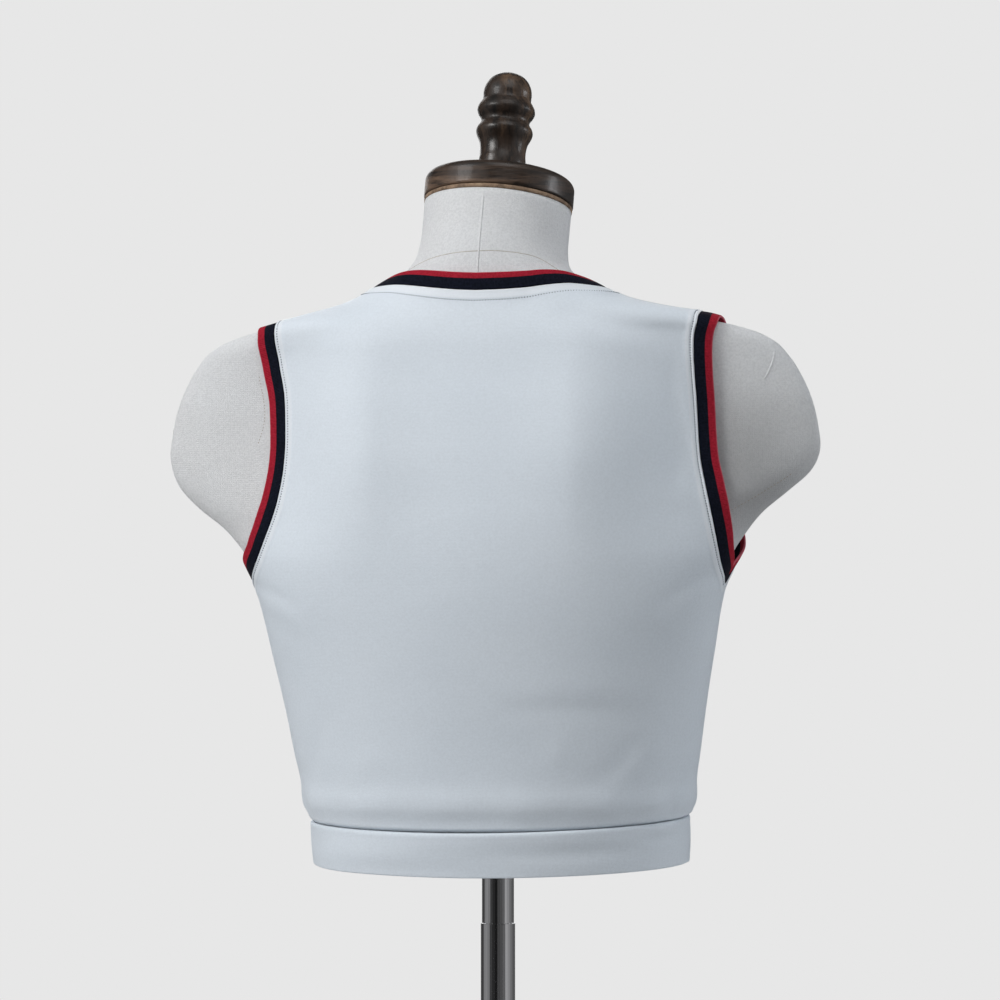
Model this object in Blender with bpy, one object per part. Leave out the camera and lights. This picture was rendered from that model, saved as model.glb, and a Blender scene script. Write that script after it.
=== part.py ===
"""Crop tank top on a limbless dress form, standing on a short counter stand.

Frame: +Z up, the garment's front faces -Y and the wearer's left is +X. The origin is the
centre of the base plate's underside. The tables and the working functions are in
millimetres, and each mesh is written in metres.

The cloth is cut as a back panel, a front panel, a hem band in two halves, and three rib
bands: one round the neck and one round each armhole. All of them are walls that follow
the bust, a loft of level rings, at the clearances given below.
"""

import math

import bmesh
import bpy
import numpy as np

MM = 0.001  # metres in a millimetre

# ---- driving dimensions, in millimetres ----
BUST_BOTTOM = 262.0  # level of the bust's lowest full ring
BUST_TOP = 703.0  # level of the neck's top ring, at its middle
UNDERSIDE_DROP, UNDERSIDE_SHARE = 3.5, 0.965  # the flat underside's level and size
BACK_FLAT, BACK_FALL = 64.0, 98.0  # half width of the flat of the back, and of the slope beside it
CHEST_FLAT, CHEST_FALL = 42.0, 108.0  # the same for the chest

CLOTH_WALL = 1.5  # body cloth, a smooth double knit
RIB_WALL = 1.6  # folded rib trim
HEM_WALL = 2.2  # the hem band is the body cloth doubled
SEAM_GAP = 0.3  # space between two pieces that are sewn together
RIB_WIDTH, NECK_RIB_WIDTH = 13.5, 12.6  # rib trims, from the seam to the folded edge

NECK_TILT = 12.5  # degrees that the neck's top leans to the front
NECK_DROP = -0.042  # the drop of the neck's top to the wearer's left, per millimetre across
CAP_RADIUS, CAP_HEIGHT, CAP_ROUND = 52.0, 17.5, 5.5
RIM_RADIUS, RIM_HEIGHT = 51.4, 2.8
POLE_RADIUS, SLEEVE_RADIUS, SLEEVE_TOP = 11.1, 11.9, 207.0
FLANGE_RADIUS, FLANGE_HEIGHT = 36.0, 6.0
BASE_RADIUS, BASE_HEIGHT, BASE_ROUND = 150.0, 9.0, 4.0
SOCKET_RADIUS, SOCKET_HEIGHT, SOCKET_ROUND = 24.0, 22.0, 3.0

# ---- how finely each piece is divided ----
BUST_ROWS, BUST_COLUMNS = 36, 60
PANEL_COLUMNS = 28
SIDE_ROWS, ARMHOLE_ROWS, SHOULDER_ROWS = 8, 14, 4
TIP_CROWDING = 1.4  # above 1, the armhole's points stand closer together at the shoulder tip
BAND_ROWS = 3
TURNED_SIDES = 40
FINIAL_SIDES = 28
BASE_SIDES = 72
CURVE_SAMPLES = 400  # points along a curve before it is cut into even lengths
SHARP_ANGLE = 40.0  # degrees between two faces above which their shared edge looks sharp

# The bust, one row for each level ring, all in millimetres but the shares and the tilt:
# height, place of the widest line, half width, back, share of the back's depth that follows
# the full width (the rest is the flat of the back), front, the same share, tilt to the front
# in degrees, and drop to the wearer's left per millimetre across.
BUST_COLUMN_NAMES = (
    "height", "centre", "half_width", "back", "back_share", "front", "front_share", "tilt",
    "drop",
)
BUST_RINGS = (
    (238.0, -12.0, 122.0, 70.0, 1.00, -88.0, 1.00, 0.0, 0.012),
    (262.0, -8.0, 124.0, 73.0, 1.00, -91.0, 1.00, 0.0, 0.012),
    (285.0, -4.0, 127.0, 76.5, 1.00, -94.0, 1.00, 0.0, 0.012),
    (306.0, 0.0, 130.4, 80.5, 1.00, -97.5, 1.00, 0.0, 0.012),
    (327.0, 5.0, 135.3, 85.0, 1.00, -101.5, 1.00, 0.0, 0.012),
    (362.0, 13.0, 142.0, 92.5, 1.00, -107.5, 1.00, 0.0, 0.012),
    (397.0, 23.0, 149.3, 99.5, 1.00, -112.0, 1.00, 0.0, 0.012),
    (431.0, 33.0, 155.8, 104.0, 1.00, -113.0, 1.00, 0.0, 0.012),
    (447.0, 36.0, 160.5, 105.0, 0.95, -112.0, 0.95, 0.0, 0.012),
    (460.0, 36.0, 167.5, 105.5, 0.88, -110.5, 0.88, 0.0, 0.014),
    (473.0, 33.0, 176.5, 105.5, 0.80, -108.0, 0.78, 0.0, 0.020),
    (487.0, 30.0, 189.0, 105.0, 0.71, -105.0, 0.67, 0.0, 0.027),
    (500.0, 28.0, 205.5, 104.0, 0.64, -101.0, 0.57, 0.0, 0.028),
    (514.0, 26.0, 220.5, 103.0, 0.58, -96.5, 0.51, 0.0, 0.022),
    (529.0, 25.0, 227.3, 101.5, 0.55, -90.5, 0.48, 0.0, 0.014),
    (549.0, 25.0, 226.3, 98.5, 0.54, -81.0, 0.48, 0.0, 0.012),
    (569.0, 26.0, 221.3, 95.0, 0.55, -70.0, 0.51, 0.0, 0.012),
    (583.0, 27.0, 215.0, 92.0, 0.57, -61.0, 0.55, 0.0, 0.012),
    (597.0, 29.0, 206.0, 89.0, 0.61, -52.0, 0.61, 0.5, 0.012),
    (606.0, 31.0, 197.0, 87.0, 0.66, -46.0, 0.68, 1.2, 0.012),
    (614.0, 33.0, 180.0, 84.5, 0.76, -40.5, 0.78, 2.0, 0.012),
    (618.5, 34.5, 163.0, 83.0, 0.90, -37.5, 0.90, 2.6, 0.012),
    (621.5, 35.5, 148.0, 82.0, 1.00, -35.5, 1.00, 3.2, 0.012),
    (625.5, 37.0, 126.0, 80.5, 1.00, -33.0, 1.00, 4.0, 0.011),
    (630.5, 38.0, 104.0, 79.0, 1.00, -30.5, 1.00, 5.2, 0.011),
    (636.0, 38.0, 89.0, 77.5, 1.00, -28.5, 1.00, 6.5, 0.009),
    (643.0, 36.0, 76.5, 75.5, 1.00, -27.0, 1.00, 8.0, 0.006),
    (648.0, 33.0, 68.6, 74.0, 1.00, -27.0, 1.00, 9.0, 0.003),
    (654.0, 28.0, 60.4, 72.0, 1.00, -28.0, 1.00, 10.2, -0.002),
    (661.0, 22.0, 54.4, 69.5, 1.00, -30.5, 1.00, 11.5, -0.010),
    (672.0, 15.0, 51.4, 65.0, 1.00, -36.0, 1.00, 12.3, -0.024),
    (688.0, 7.0, 50.8, 57.5, 1.00, -43.5, 1.00, 12.5, -0.036),
    (BUST_TOP, 0.0, 51.0, 51.0, 1.00, -51.0, 1.00, NECK_TILT, NECK_DROP),
)

# How far the cloth's outer face stands off the bust: level, distance. The cloth blouses a
# little above the seam of the hem band.
CLOTH_STAND_OFF = (
    (270.0, 6.4), (277.0, 6.5), (281.0, 6.8), (286.0, 8.2), (291.5, 10.0), (298.0, 10.0),
    (306.0, 8.6), (327.0, 6.9), (362.0, 5.8), (397.0, 5.0), (431.0, 5.0), (445.0, 5.0),
    (500.0, 4.3), (560.0, 4.1), (590.0, 4.1), (618.0, 4.6), (632.0, 4.5), (660.0, 3.6),
)
HEM_STAND_OFF = ((238.0, 9.4), (250.0, 9.4), (262.0, 9.2), (272.0, 8.2), (280.0, 6.8))

# Round the hem, by the turn in degrees from the wearer's left: the hem band's lower edge and
# its seam with the body.
HEM_EDGES = (
    # turn, lower edge, seam
    (-180.0, 249.5, 279.5),
    (-90.0, 250.0, 282.5),
    (0.0, 250.0, 279.5),
    (90.0, 244.0, 276.0),
    (180.0, 249.5, 279.5),
)

# The seams' ends on the side line, as levels: the underarm and the shoulder tip of each
# armhole, and the neck point of each shoulder.
ARMHOLE_ENDS_LEFT = (442.5, 622.3)
ARMHOLE_ENDS_RIGHT = (441.5, 621.3)
NECK_POINT_LEFT, NECK_POINT_RIGHT = 641.0, 638.9

# Each armhole's seam between its ends: level, and how far across it lies.
ARMHOLE_BACK_LEFT = (
    (446.5, 159.7), (453.0, 158.6), (464.0, 152.6), (474.5, 148.5), (484.5, 144.8),
    (501.0, 139.2), (516.5, 135.6), (530.0, 133.7), (546.0, 133.2), (571.5, 134.5),
    (591.5, 138.8), (608.0, 142.3), (617.0, 143.2), (621.2, 143.8),
)
ARMHOLE_BACK_RIGHT = (
    (445.0, 159.4), (449.5, 160.2), (458.5, 159.8), (473.0, 158.4), (487.5, 156.0),
    (511.5, 151.6), (524.0, 149.5), (541.5, 148.0), (565.0, 146.6), (580.5, 145.4),
    (596.0, 144.8), (608.5, 145.6), (616.5, 147.3), (620.3, 148.6),
)
ARMHOLE_FRONT_LEFT = (
    (445.5, 158.6), (451.0, 158.0), (460.0, 154.8), (474.0, 149.0), (490.0, 143.2),
    (510.0, 138.0), (535.0, 134.6), (560.0, 134.0), (585.0, 136.6), (604.0, 140.6),
    (616.0, 142.9), (621.0, 143.9),
)
ARMHOLE_FRONT_RIGHT = (
    (445.0, 159.0), (450.0, 159.4), (459.0, 157.6), (473.0, 153.2), (489.0, 147.4),
    (510.0, 141.6), (535.0, 137.6), (560.0, 136.6), (585.0, 139.4), (604.0, 143.6),
    (615.5, 146.6), (620.2, 148.5),
)

# The neckline's seam from below the neck point to the middle: level, and distance across.
NECKLINE_BACK_LEFT = (
    (641.3, 70.0), (641.5, 57.0), (640.2, 43.0), (638.6, 29.0), (637.2, 14.0), (636.5, 0.0),
)
NECKLINE_BACK_RIGHT = (
    (639.7, 72.0), (640.5, 59.5), (639.3, 46.5), (637.7, 34.0), (636.8, 18.0), (636.5, 0.0),
)
NECKLINE_FRONT = (
    (632.0, 77.5), (619.0, 72.0), (604.0, 64.5), (589.0, 53.5), (575.5, 38.5), (565.5, 19.5),
    (562.0, 0.0),
)

# Soft folds in the cloth: turn, level, half length along the fold, half width across it, how
# far it swings up from level in degrees, and how far it stands out.
CLOTH_FOLDS = (
    (160.0, 606.0, 46.0, 9.0, -14.0, 1.6),  # roll below the right shoulder seam
    (152.0, 588.0, 50.0, 12.0, -16.0, -1.0),  # hollow under it
    (4.0, 430.0, 26.0, 6.0, 52.0, -1.6),  # crease running down from the left underarm
    (14.0, 420.0, 30.0, 8.0, 60.0, 0.9),
    (112.0, 356.0, 62.0, 9.0, 3.0, -0.7),  # faint crease across the lower back
    (126.0, 326.0, 34.0, 9.0, 28.0, 0.8),
)
BLADE_ACROSS, BLADE_LEVEL, BLADE_RISE = 76.0, 545.0, 2.4
BLADE_HALF_WIDTH, BLADE_HALF_HEIGHT = 34.0, 62.0
BREAST_ACROSS, BREAST_LEVEL, BREAST_RISE = 74.0, 455.0, 15.0
BREAST_HALF_WIDTH, BREAST_HALF_HEIGHT = 50.0, 52.0

# The turned finial: distance along the neck's axis from the top of the cap, and radius.
FINIAL_PROFILE = (
    (0.0, 17.6), (14.2, 17.6), (15.8, 17.0), (17.6, 15.9), (22.2, 16.0), (26.8, 17.2),
    (29.2, 18.4), (31.6, 19.4), (34.2, 19.8), (36.8, 19.0), (39.0, 17.6), (40.8, 16.9),
    (42.8, 17.2), (45.6, 19.0), (48.6, 20.2), (51.4, 19.8), (54.2, 18.4), (56.6, 17.0),
    (58.8, 16.8), (62.2, 16.9), (66.2, 16.2), (70.2, 14.4), (73.2, 11.8), (75.6, 7.8),
    (76.8, 3.4),
)


def smooth(places, values, wanted):
    """A cubic curve through a table's points, each with the slope between its neighbours."""
    places = np.asarray(places, float)
    values = np.asarray(values, float)
    slopes = np.gradient(values, places)
    before = np.clip(np.searchsorted(places, wanted) - 1, 0, len(places) - 2)
    step = places[before + 1] - places[before]
    part = np.clip((wanted - places[before]) / step, 0.0, 1.0)
    rise = part * part * (3 - 2 * part)
    leaving = part * (1 - part) ** 2 * step * slopes[before]
    arriving = part**2 * (1 - part) * step * slopes[before + 1]
    return values[before] * (1 - rise) + values[before + 1] * rise + leaving - arriving


def table_value(table, wanted):
    """The second column of a two-column table, read at the wanted places of the first."""
    places, values = zip(*table)
    return smooth(places, values, wanted)


def bust_rings(level):
    """Every column of the bust's table at the given levels."""
    columns = dict(zip(BUST_COLUMN_NAMES, zip(*BUST_RINGS)))
    heights = columns.pop("height")
    return {name: smooth(heights, values, level) for name, values in columns.items()}


def flat_share(across, flat, fall):
    """1 on the flat middle of the back or chest, easing to 0 past the slope beside it."""
    return 0.5 + 0.5 * np.cos(np.pi * np.clip((np.abs(across) - flat) / fall, 0.0, 1.0))


def bell(away, half_width):
    """A smooth rise to 1 at the middle."""
    return np.exp(-((away / half_width) ** 2))


def bust_point(turn, level):
    """Points on the bust. The turn is in degrees from the wearer's left, over the back."""
    ring = bust_rings(level)
    across = ring["half_width"] * np.cos(np.radians(turn))
    sine = np.sin(np.radians(turn))
    behind = sine >= 0
    depth = np.where(behind, ring["back"], ring["front"]) - ring["centre"]
    share = np.where(behind, ring["back_share"], ring["front_share"])
    flat = np.where(
        behind,
        flat_share(across, BACK_FLAT, BACK_FALL),
        flat_share(across, CHEST_FLAT, CHEST_FALL),
    )
    along = depth * (share * np.abs(sine) + (1 - share) * flat)
    blade = bell(np.abs(across) - BLADE_ACROSS, BLADE_HALF_WIDTH)
    blade = BLADE_RISE * blade * bell(level - BLADE_LEVEL, BLADE_HALF_HEIGHT)
    breast = bell(np.abs(across) - BREAST_ACROSS, BREAST_HALF_WIDTH)
    breast = BREAST_RISE * breast * bell(level - BREAST_LEVEL, BREAST_HALF_HEIGHT)
    along = along + np.where(behind, blade, -breast) * np.abs(sine)
    tilt = np.radians(ring["tilt"])
    return np.stack(
        [
            across,
            ring["centre"] + along * np.cos(tilt),
            level + along * np.sin(tilt) - ring["drop"] * across,
        ],
        axis=-1,
    )


def bust_slopes(turn, level, step=0.4):
    """How the bust's point moves per degree of turn and per millimetre of level."""
    by_turn = bust_point(turn + step, level) - bust_point(turn - step, level)
    by_level = bust_point(turn, level + step) - bust_point(turn, level - step)
    return by_turn / (2 * step), by_level / (2 * step)


def unit(vectors):
    return vectors / np.linalg.norm(vectors, axis=-1, keepdims=True)


def off_bust(turn, level, distance):
    """Points at a distance straight out from the bust."""
    turn, level = np.broadcast_arrays(np.asarray(turn, float), np.asarray(level, float))
    outward = unit(np.cross(*bust_slopes(turn, level)))
    return bust_point(turn, level) + outward * np.asarray(distance)[..., None]


def moved_across(turn, level, step):
    """The turn and level that a small step from points on the bust leads to."""
    by_turn, by_level = bust_slopes(turn, level)
    slopes = np.stack([by_turn, by_level], axis=-1)
    moves = np.linalg.pinv(slopes) @ step[..., None]
    return turn + moves[..., 0, 0], level + moves[..., 1, 0]


def fold_height(turn, level):
    """The sum of the soft folds: each a smooth ridge or trough along a short line."""
    here = bust_point(turn, level)
    total = np.zeros(np.shape(level))
    for fold_turn, fold_level, half_length, half_width, swing, height in CLOTH_FOLDS:
        middle = bust_point(np.array(fold_turn), np.array(fold_level))
        by_turn, _ = bust_slopes(np.array(fold_turn), np.array(fold_level))
        level_way = unit(by_turn)
        up_way = np.array([0.0, 0.0, 1.0])
        aside = (here - middle) @ level_way
        above = (here - middle) @ up_way
        cos, sin = math.cos(math.radians(swing)), math.sin(math.radians(swing))
        along = aside * cos + above * sin
        across = above * cos - aside * sin
        total = total + height * np.exp(-((along / half_length) ** 2) - (across / half_width) ** 2)
    return total


def even_samples(points, count, crowding=1.0):
    """Where to cut an open curve to have this many points, even or crowded to its end."""
    lengths = np.linalg.norm(np.diff(points, axis=0), axis=1)
    run = np.concatenate([[0.0], np.cumsum(lengths)])
    share = 1.0 - np.linspace(1.0, 0.0, count) ** crowding
    return np.interp(share * run[-1], run, np.arange(len(points)))


def through(levels, across, count, crowding=1.0):
    """A curve on the bust through the given levels and distances across, in short lengths."""
    places = np.arange(len(levels), dtype=float)
    fine = places[-1] * (0.5 - 0.5 * np.cos(np.linspace(0.0, np.pi, CURVE_SAMPLES)))
    level = smooth(places, levels, fine)
    turn = turns_at(level, smooth(places, across, fine))
    at = even_samples(bust_point(turn, level), count, crowding)
    index = np.arange(CURVE_SAMPLES, dtype=float)
    return np.interp(at, index, turn), np.interp(at, index, level)


def turns_at(levels, across):
    """The turn of each point that lies this far across at its level."""
    half_width = bust_rings(np.asarray(levels, float))["half_width"]
    ratio = np.asarray(across, float) / half_width
    return np.degrees(np.arccos(np.clip(ratio, 0.0, 1.0)))


def across_at(turn, level):
    """How far across the points at these turns and levels lie."""
    return bust_rings(level)["half_width"] * np.cos(np.radians(turn))


def slow_step(share):
    """A share from 0 to 1, with a slow start and a slow end."""
    share = np.clip(share, 0.0, 1.0)
    return share * share * (3 - 2 * share)


def seam_turn(level):
    """Half the seam's gap, as a turn, at the side or on the ridge of the shoulder."""
    by_turn, _ = bust_slopes(np.zeros(np.shape(level)), level)
    return 0.5 * SEAM_GAP / np.linalg.norm(by_turn, axis=-1)


def on_side_line(level):
    """A table row for a seam's end on the side line or on the ridge of the shoulder."""
    return level, float(bust_rings(np.array([level]))["half_width"][0])


def armhole_edge(table, ends):
    """One armhole seam from underarm to shoulder tip, as turns from the side and levels."""
    rows = [on_side_line(ends[0]), *table, on_side_line(ends[1])]
    return through(*zip(*rows), ARMHOLE_ROWS + 1, TIP_CROWDING)


def neckline_half(table, neck_point):
    """Half the neckline from the neck point to the middle, as turns and levels."""
    rows = [on_side_line(neck_point), *table]
    return through(*zip(*rows), PANEL_COLUMNS // 2 + 1)


def side_line(armhole, ends, top_level):
    """A panel's side from the hem seam to the neck point: side seam, armhole and shoulder."""
    hem = hem_levels(np.zeros(1))[1][0] + 0.5 * SEAM_GAP
    arm_turn, arm_level = armhole_edge(armhole, ends)
    up_side = np.linspace(hem, arm_level[0], SIDE_ROWS + 1)[:-1]
    up_shoulder = np.linspace(arm_level[-1], top_level, SHOULDER_ROWS + 1)[1:]
    level = np.concatenate([up_side, arm_level, up_shoulder])
    turn = np.concatenate([np.zeros(SIDE_ROWS), arm_turn, np.zeros(SHOULDER_ROWS)])
    return np.maximum(turn, seam_turn(level)), level


def hem_levels(turn):
    """The hem band's lower edge and seam at each turn, on a closed curve through the table."""
    turns, edges, seams = zip(*HEM_EDGES)
    return smooth(turns, edges, turn), smooth(turns, seams, turn)


def panel_half(armhole, neckline, mirrored, facing):
    """Half a panel's grid of turns and levels, from its side line to its middle line.

    Each row runs from a point on the side line to one on the middle line. Below the armhole
    its points are spread by turn, and from the armhole's middle upwards by how far across
    they lie. Past the shoulder tip the rows bend to the neckline.
    """
    ends = ARMHOLE_ENDS_RIGHT if mirrored else ARMHOLE_ENDS_LEFT
    neck_point = NECK_POINT_RIGHT if mirrored else NECK_POINT_LEFT
    neck_turn, neck_level = neckline_half(neckline, neck_point)
    side_turn, side_level = side_line(armhole, ends, neck_point)
    side_points = bust_point(side_turn, side_level)
    run = np.concatenate([[0.0], np.cumsum(np.linalg.norm(np.diff(side_points, axis=0), axis=1))])
    up = run / run[-1]
    underarm, middle, tip = up[SIDE_ROWS + np.array([0, ARMHOLE_ROWS // 2, ARMHOLE_ROWS])]
    inward = np.linspace(0.0, 1.0, PANEL_COLUMNS // 2 + 1)
    hem_side = (180.0 - 90.0 * inward if mirrored else 90.0 * inward) * facing
    hem_level = hem_levels(hem_side)[1] + 0.5 * SEAM_GAP
    side_up = (side_level - side_level[0]) / (side_level[-1] - side_level[0])
    height = side_up[:, None] + np.outer(up - side_up, slow_step(inward))
    level = hem_level + height * (neck_level - hem_level)
    by_turn = np.outer(side_turn, 1 - inward) + 90.0 * inward
    opened = np.maximum.accumulate(side_turn)
    narrowing = np.cos(np.radians(np.outer(opened, 1 - inward) + 90.0 * inward))
    narrowing = narrowing / np.cos(np.radians(opened))[:, None]
    across = across_at(side_turn, side_level)[:, None] * narrowing
    near_neck = np.clip((up - tip) / (1 - tip), 0.0, 1.0)
    across = across + np.outer(near_neck, across_at(neck_turn, neck_level) - across[-1])
    share = slow_step((up - underarm) / (middle - underarm))[:, None]
    turn = by_turn * (1 - share) + turns_at(level, across) * share
    turn[:, 0] = side_turn
    if mirrored:
        turn = 180.0 - turn
    return turn * facing, level


def panel_grid(left, right, facing):
    """A whole panel's turns and levels, from its armhole and neckline on each side.

    It faces the back for 1 and the front for -1.
    """
    left_turn, left_level = panel_half(*left, False, facing)
    right_turn, right_level = panel_half(*right, True, facing)
    turn = np.concatenate([left_turn, right_turn[:, -2::-1]], axis=1)
    level = np.concatenate([left_level, right_level[:, -2::-1]], axis=1)
    return turn, level


def panel_walls(turn, level):
    """A panel's outer and inner faces."""
    stand_off = table_value(CLOTH_STAND_OFF, level) + fold_height(turn, level)
    return off_bust(turn, level, stand_off), off_bust(turn, level, stand_off - CLOTH_WALL)


def closed_edge(turn, level):
    """How a closed curve on the bust runs at each of its points."""
    points = bust_point(turn, level)
    return unit(np.roll(points, -1, axis=0) - np.roll(points, 1, axis=0))


def rib_walls(turn, level, width, inward_sign):
    """A rib band's faces. It starts beside a closed seam and is laid across the bust."""
    turns, levels = [], []
    steps = [SEAM_GAP] + [(width - SEAM_GAP) / BAND_ROWS] * BAND_ROWS
    for step in steps:
        outward = unit(np.cross(*bust_slopes(turn, level)))
        inward = inward_sign * np.cross(outward, closed_edge(turn, level))
        turn, level = moved_across(turn, level, step * inward)
        turns.append(turn)
        levels.append(level)
    turns, levels = np.array(turns), np.array(levels)
    seam_level = levels[0]
    stand_off = table_value(CLOTH_STAND_OFF, seam_level)
    return off_bust(turns, levels, stand_off), off_bust(turns, levels, stand_off - RIB_WALL)


def mesh_object(name, points, faces, material, is_round=True):
    """One object from points in millimetres, with its faces turned outward."""
    mesh = bpy.data.meshes.new(name)
    mesh.from_pydata((np.asarray(points) * MM).tolist(), [], [list(map(int, f)) for f in faces])
    shape = bmesh.new()
    shape.from_mesh(mesh)
    bmesh.ops.recalc_face_normals(shape, faces=shape.faces)
    shape.to_mesh(mesh)
    shape.free()
    mesh.materials.append(material)
    if is_round:
        mesh.shade_smooth()
        mesh.set_sharp_from_angle(angle=math.radians(SHARP_ANGLE))
    made = bpy.data.objects.new(name, mesh)
    bpy.context.scene.collection.objects.link(made)
    return made


def grid_quads(rows, columns, wraps, first=0):
    """The quads of a grid of points that are numbered row by row."""
    across = columns if wraps else columns - 1
    row, column = np.meshgrid(np.arange(rows - 1), np.arange(across), indexing="ij")
    after = (column + 1) % columns
    corners = [row * columns + column, row * columns + after]
    corners += [(row + 1) * columns + after, (row + 1) * columns + column]
    return first + np.stack(corners, axis=-1).reshape(-1, 4)


def wall_object(name, outer, inner, material, wraps=False, seam_order=1):
    """A sheet of cloth with real thickness, from the grids of its two faces.

    Its narrow edge walls are pairs of triangles. The seam order says which way they split,
    so that two pieces that are sewn together split alike and keep their gap.
    """
    rows, columns = outer.shape[:2]
    count = rows * columns
    faces = [*grid_quads(rows, columns, wraps), *grid_quads(rows, columns, wraps, count)]
    number = np.arange(count).reshape(rows, columns)
    edges = [number[0], number[-1]]
    if wraps:
        edges = [np.append(edge, edge[0]) for edge in edges]
    else:
        edges += [number[:, 0], number[:, -1]]
    for edge in edges:
        here, after = edge[::seam_order][:-1], edge[::seam_order][1:]
        faces.extend(np.stack([here, after, after + count], axis=-1))
        faces.extend(np.stack([here, after + count, here + count], axis=-1))
    points = np.concatenate([outer.reshape(-1, 3), inner.reshape(-1, 3)])
    return mesh_object(name, points, faces, material)


def loft_object(name, rings, material):
    """A closed solid through stacked rings, with a fan of triangles over each end."""
    rows, columns = rings.shape[:2]
    count = rows * columns
    faces = [tuple(quad) for quad in grid_quads(rows, columns, True)]
    for end, row in ((count, 0), (count + 1, rows - 1)):
        for column in range(columns):
            here = row * columns + column
            after = row * columns + (column + 1) % columns
            faces.append((here, after, end))
    ends = [rings[0].mean(axis=0), rings[-1].mean(axis=0)]
    points = np.concatenate([rings.reshape(-1, 3), ends])
    return mesh_object(name, points, faces, material)


def turned_object(
    name, profile, material, place=(0.0, 0.0, 0.0), tilt=0.0, lean=0.0, sides=TURNED_SIDES
):
    """A turned solid: its profile gives distance up the axis and radius, from the bottom."""
    up, radius = np.array(profile, float).T
    angle = np.linspace(0.0, 2 * np.pi, sides, endpoint=False)
    rings = np.stack(
        [
            radius[:, None] * np.cos(angle),
            radius[:, None] * np.sin(angle),
            up[:, None] * np.ones(sides),
        ],
        axis=-1,
    )
    made = loft_object(name, rings, material)
    made.location = [value * MM for value in place]
    made.rotation_euler = (tilt, lean, 0.0)
    return made


def rounded_edge(radius, height, rounding, steps=4):
    """The upper edge of a disc, as profile points from its side to its top."""
    angles = np.linspace(0.0, 0.5 * np.pi, steps)
    return [
        (height - rounding * (1 - math.sin(a)), radius - rounding * (1 - math.cos(a)))
        for a in angles
    ]


def paint(name, colour, roughness, metallic=0.0):
    """A plain Principled material."""
    material = bpy.data.materials.new(name)
    material.use_nodes = True
    shader = material.node_tree.nodes["Principled BSDF"]
    shader.inputs["Base Color"].default_value = (*colour, 1.0)
    shader.inputs["Roughness"].default_value = roughness
    shader.inputs["Metallic"].default_value = metallic
    return material


def make_bust(material):
    """The padded bust with its neck and shoulder stubs, smooth and whole."""
    levels = np.linspace(BUST_BOTTOM, BUST_TOP, CURVE_SAMPLES)
    outline = np.stack([bust_rings(levels)["half_width"], levels], axis=-1)
    at = even_samples(outline, BUST_ROWS)
    levels = np.interp(at, np.arange(CURVE_SAMPLES), levels)[:, None]
    turn = np.linspace(0.0, 360.0, BUST_COLUMNS, endpoint=False)[None, :]
    turn = (turn + 180.0) % 360.0 - 180.0
    rings = bust_point(*np.broadcast_arrays(turn, levels))
    middle = rings[0].mean(axis=0)
    underside = middle + (rings[0] - middle) * UNDERSIDE_SHARE
    underside[:, 2] = BUST_BOTTOM - UNDERSIDE_DROP
    return loft_object("form_torso", np.concatenate([underside[None], rings]), material)


def make_panels(material):
    """The back and the front, each one wall from hem seam to neckline."""
    back_left = (ARMHOLE_BACK_LEFT, NECKLINE_BACK_LEFT)
    back_right = (ARMHOLE_BACK_RIGHT, NECKLINE_BACK_RIGHT)
    front_left = (ARMHOLE_FRONT_LEFT, NECKLINE_FRONT)
    front_right = (ARMHOLE_FRONT_RIGHT, NECKLINE_FRONT)
    back = panel_grid(back_left, back_right, 1)
    front = panel_grid(front_left, front_right, -1)
    wall_object("back_panel", *panel_walls(*back), material)
    wall_object("front_panel", *panel_walls(*front), material, seam_order=-1)
    return back, front


def make_neck_band(back, front, material):
    """The rib round the neck, sewn to the top edges of both panels."""
    turn = np.concatenate([back[0][-1], front[0][-1][-2:0:-1]])
    level = np.concatenate([back[1][-1], front[1][-1][-2:0:-1]])
    turn[0] = 0.0
    turn[PANEL_COLUMNS] = 180.0
    turn = np.where(turn < 0, turn + 360.0, turn)
    walls = rib_walls(turn, level, NECK_RIB_WIDTH, 1)
    wall_object("neck_band", *walls, material, wraps=True)


def make_armhole_band(name, back, front, column, side, material):
    """The rib round one armhole, sewn to the edges of both panels."""
    rows = slice(SIDE_ROWS, SIDE_ROWS + ARMHOLE_ROWS + 1)
    inner_rows = slice(SIDE_ROWS + ARMHOLE_ROWS - 1, SIDE_ROWS, -1)
    turn = np.concatenate([back[0][rows, column], front[0][inner_rows, column]])
    level = np.concatenate([back[1][rows, column], front[1][inner_rows, column]])
    if side < 0:
        turn = np.where(turn < 0, turn + 360.0, turn)
    turn[0] = turn[ARMHOLE_ROWS] = 0.0 if side > 0 else 180.0
    walls = rib_walls(turn, level, RIB_WIDTH, side)
    wall_object(name, *walls, material, wraps=True)


def make_hem_band(name, facing, material):
    """Half the hem band, from one side seam to the other."""
    ends = 0.5 * SEAM_GAP / bust_rings(np.array([BUST_BOTTOM]))["half_width"][0]
    turn = np.linspace(0.0, 180.0, PANEL_COLUMNS + 1)
    turn[0] += math.degrees(ends)
    turn[-1] -= math.degrees(ends)
    turn = turn[None, :] * facing
    lower, seam = hem_levels(turn)
    part = np.linspace(0.0, 1.0, BAND_ROWS + 1)[:, None]
    level = lower + (seam - 0.5 * SEAM_GAP - lower) * part
    turn = np.broadcast_to(turn, level.shape)
    stand_off = table_value(HEM_STAND_OFF, level)
    walls = off_bust(turn, level, stand_off), off_bust(turn, level, stand_off - HEM_WALL)
    wall_object(name, *walls, material, seam_order=facing)


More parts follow.
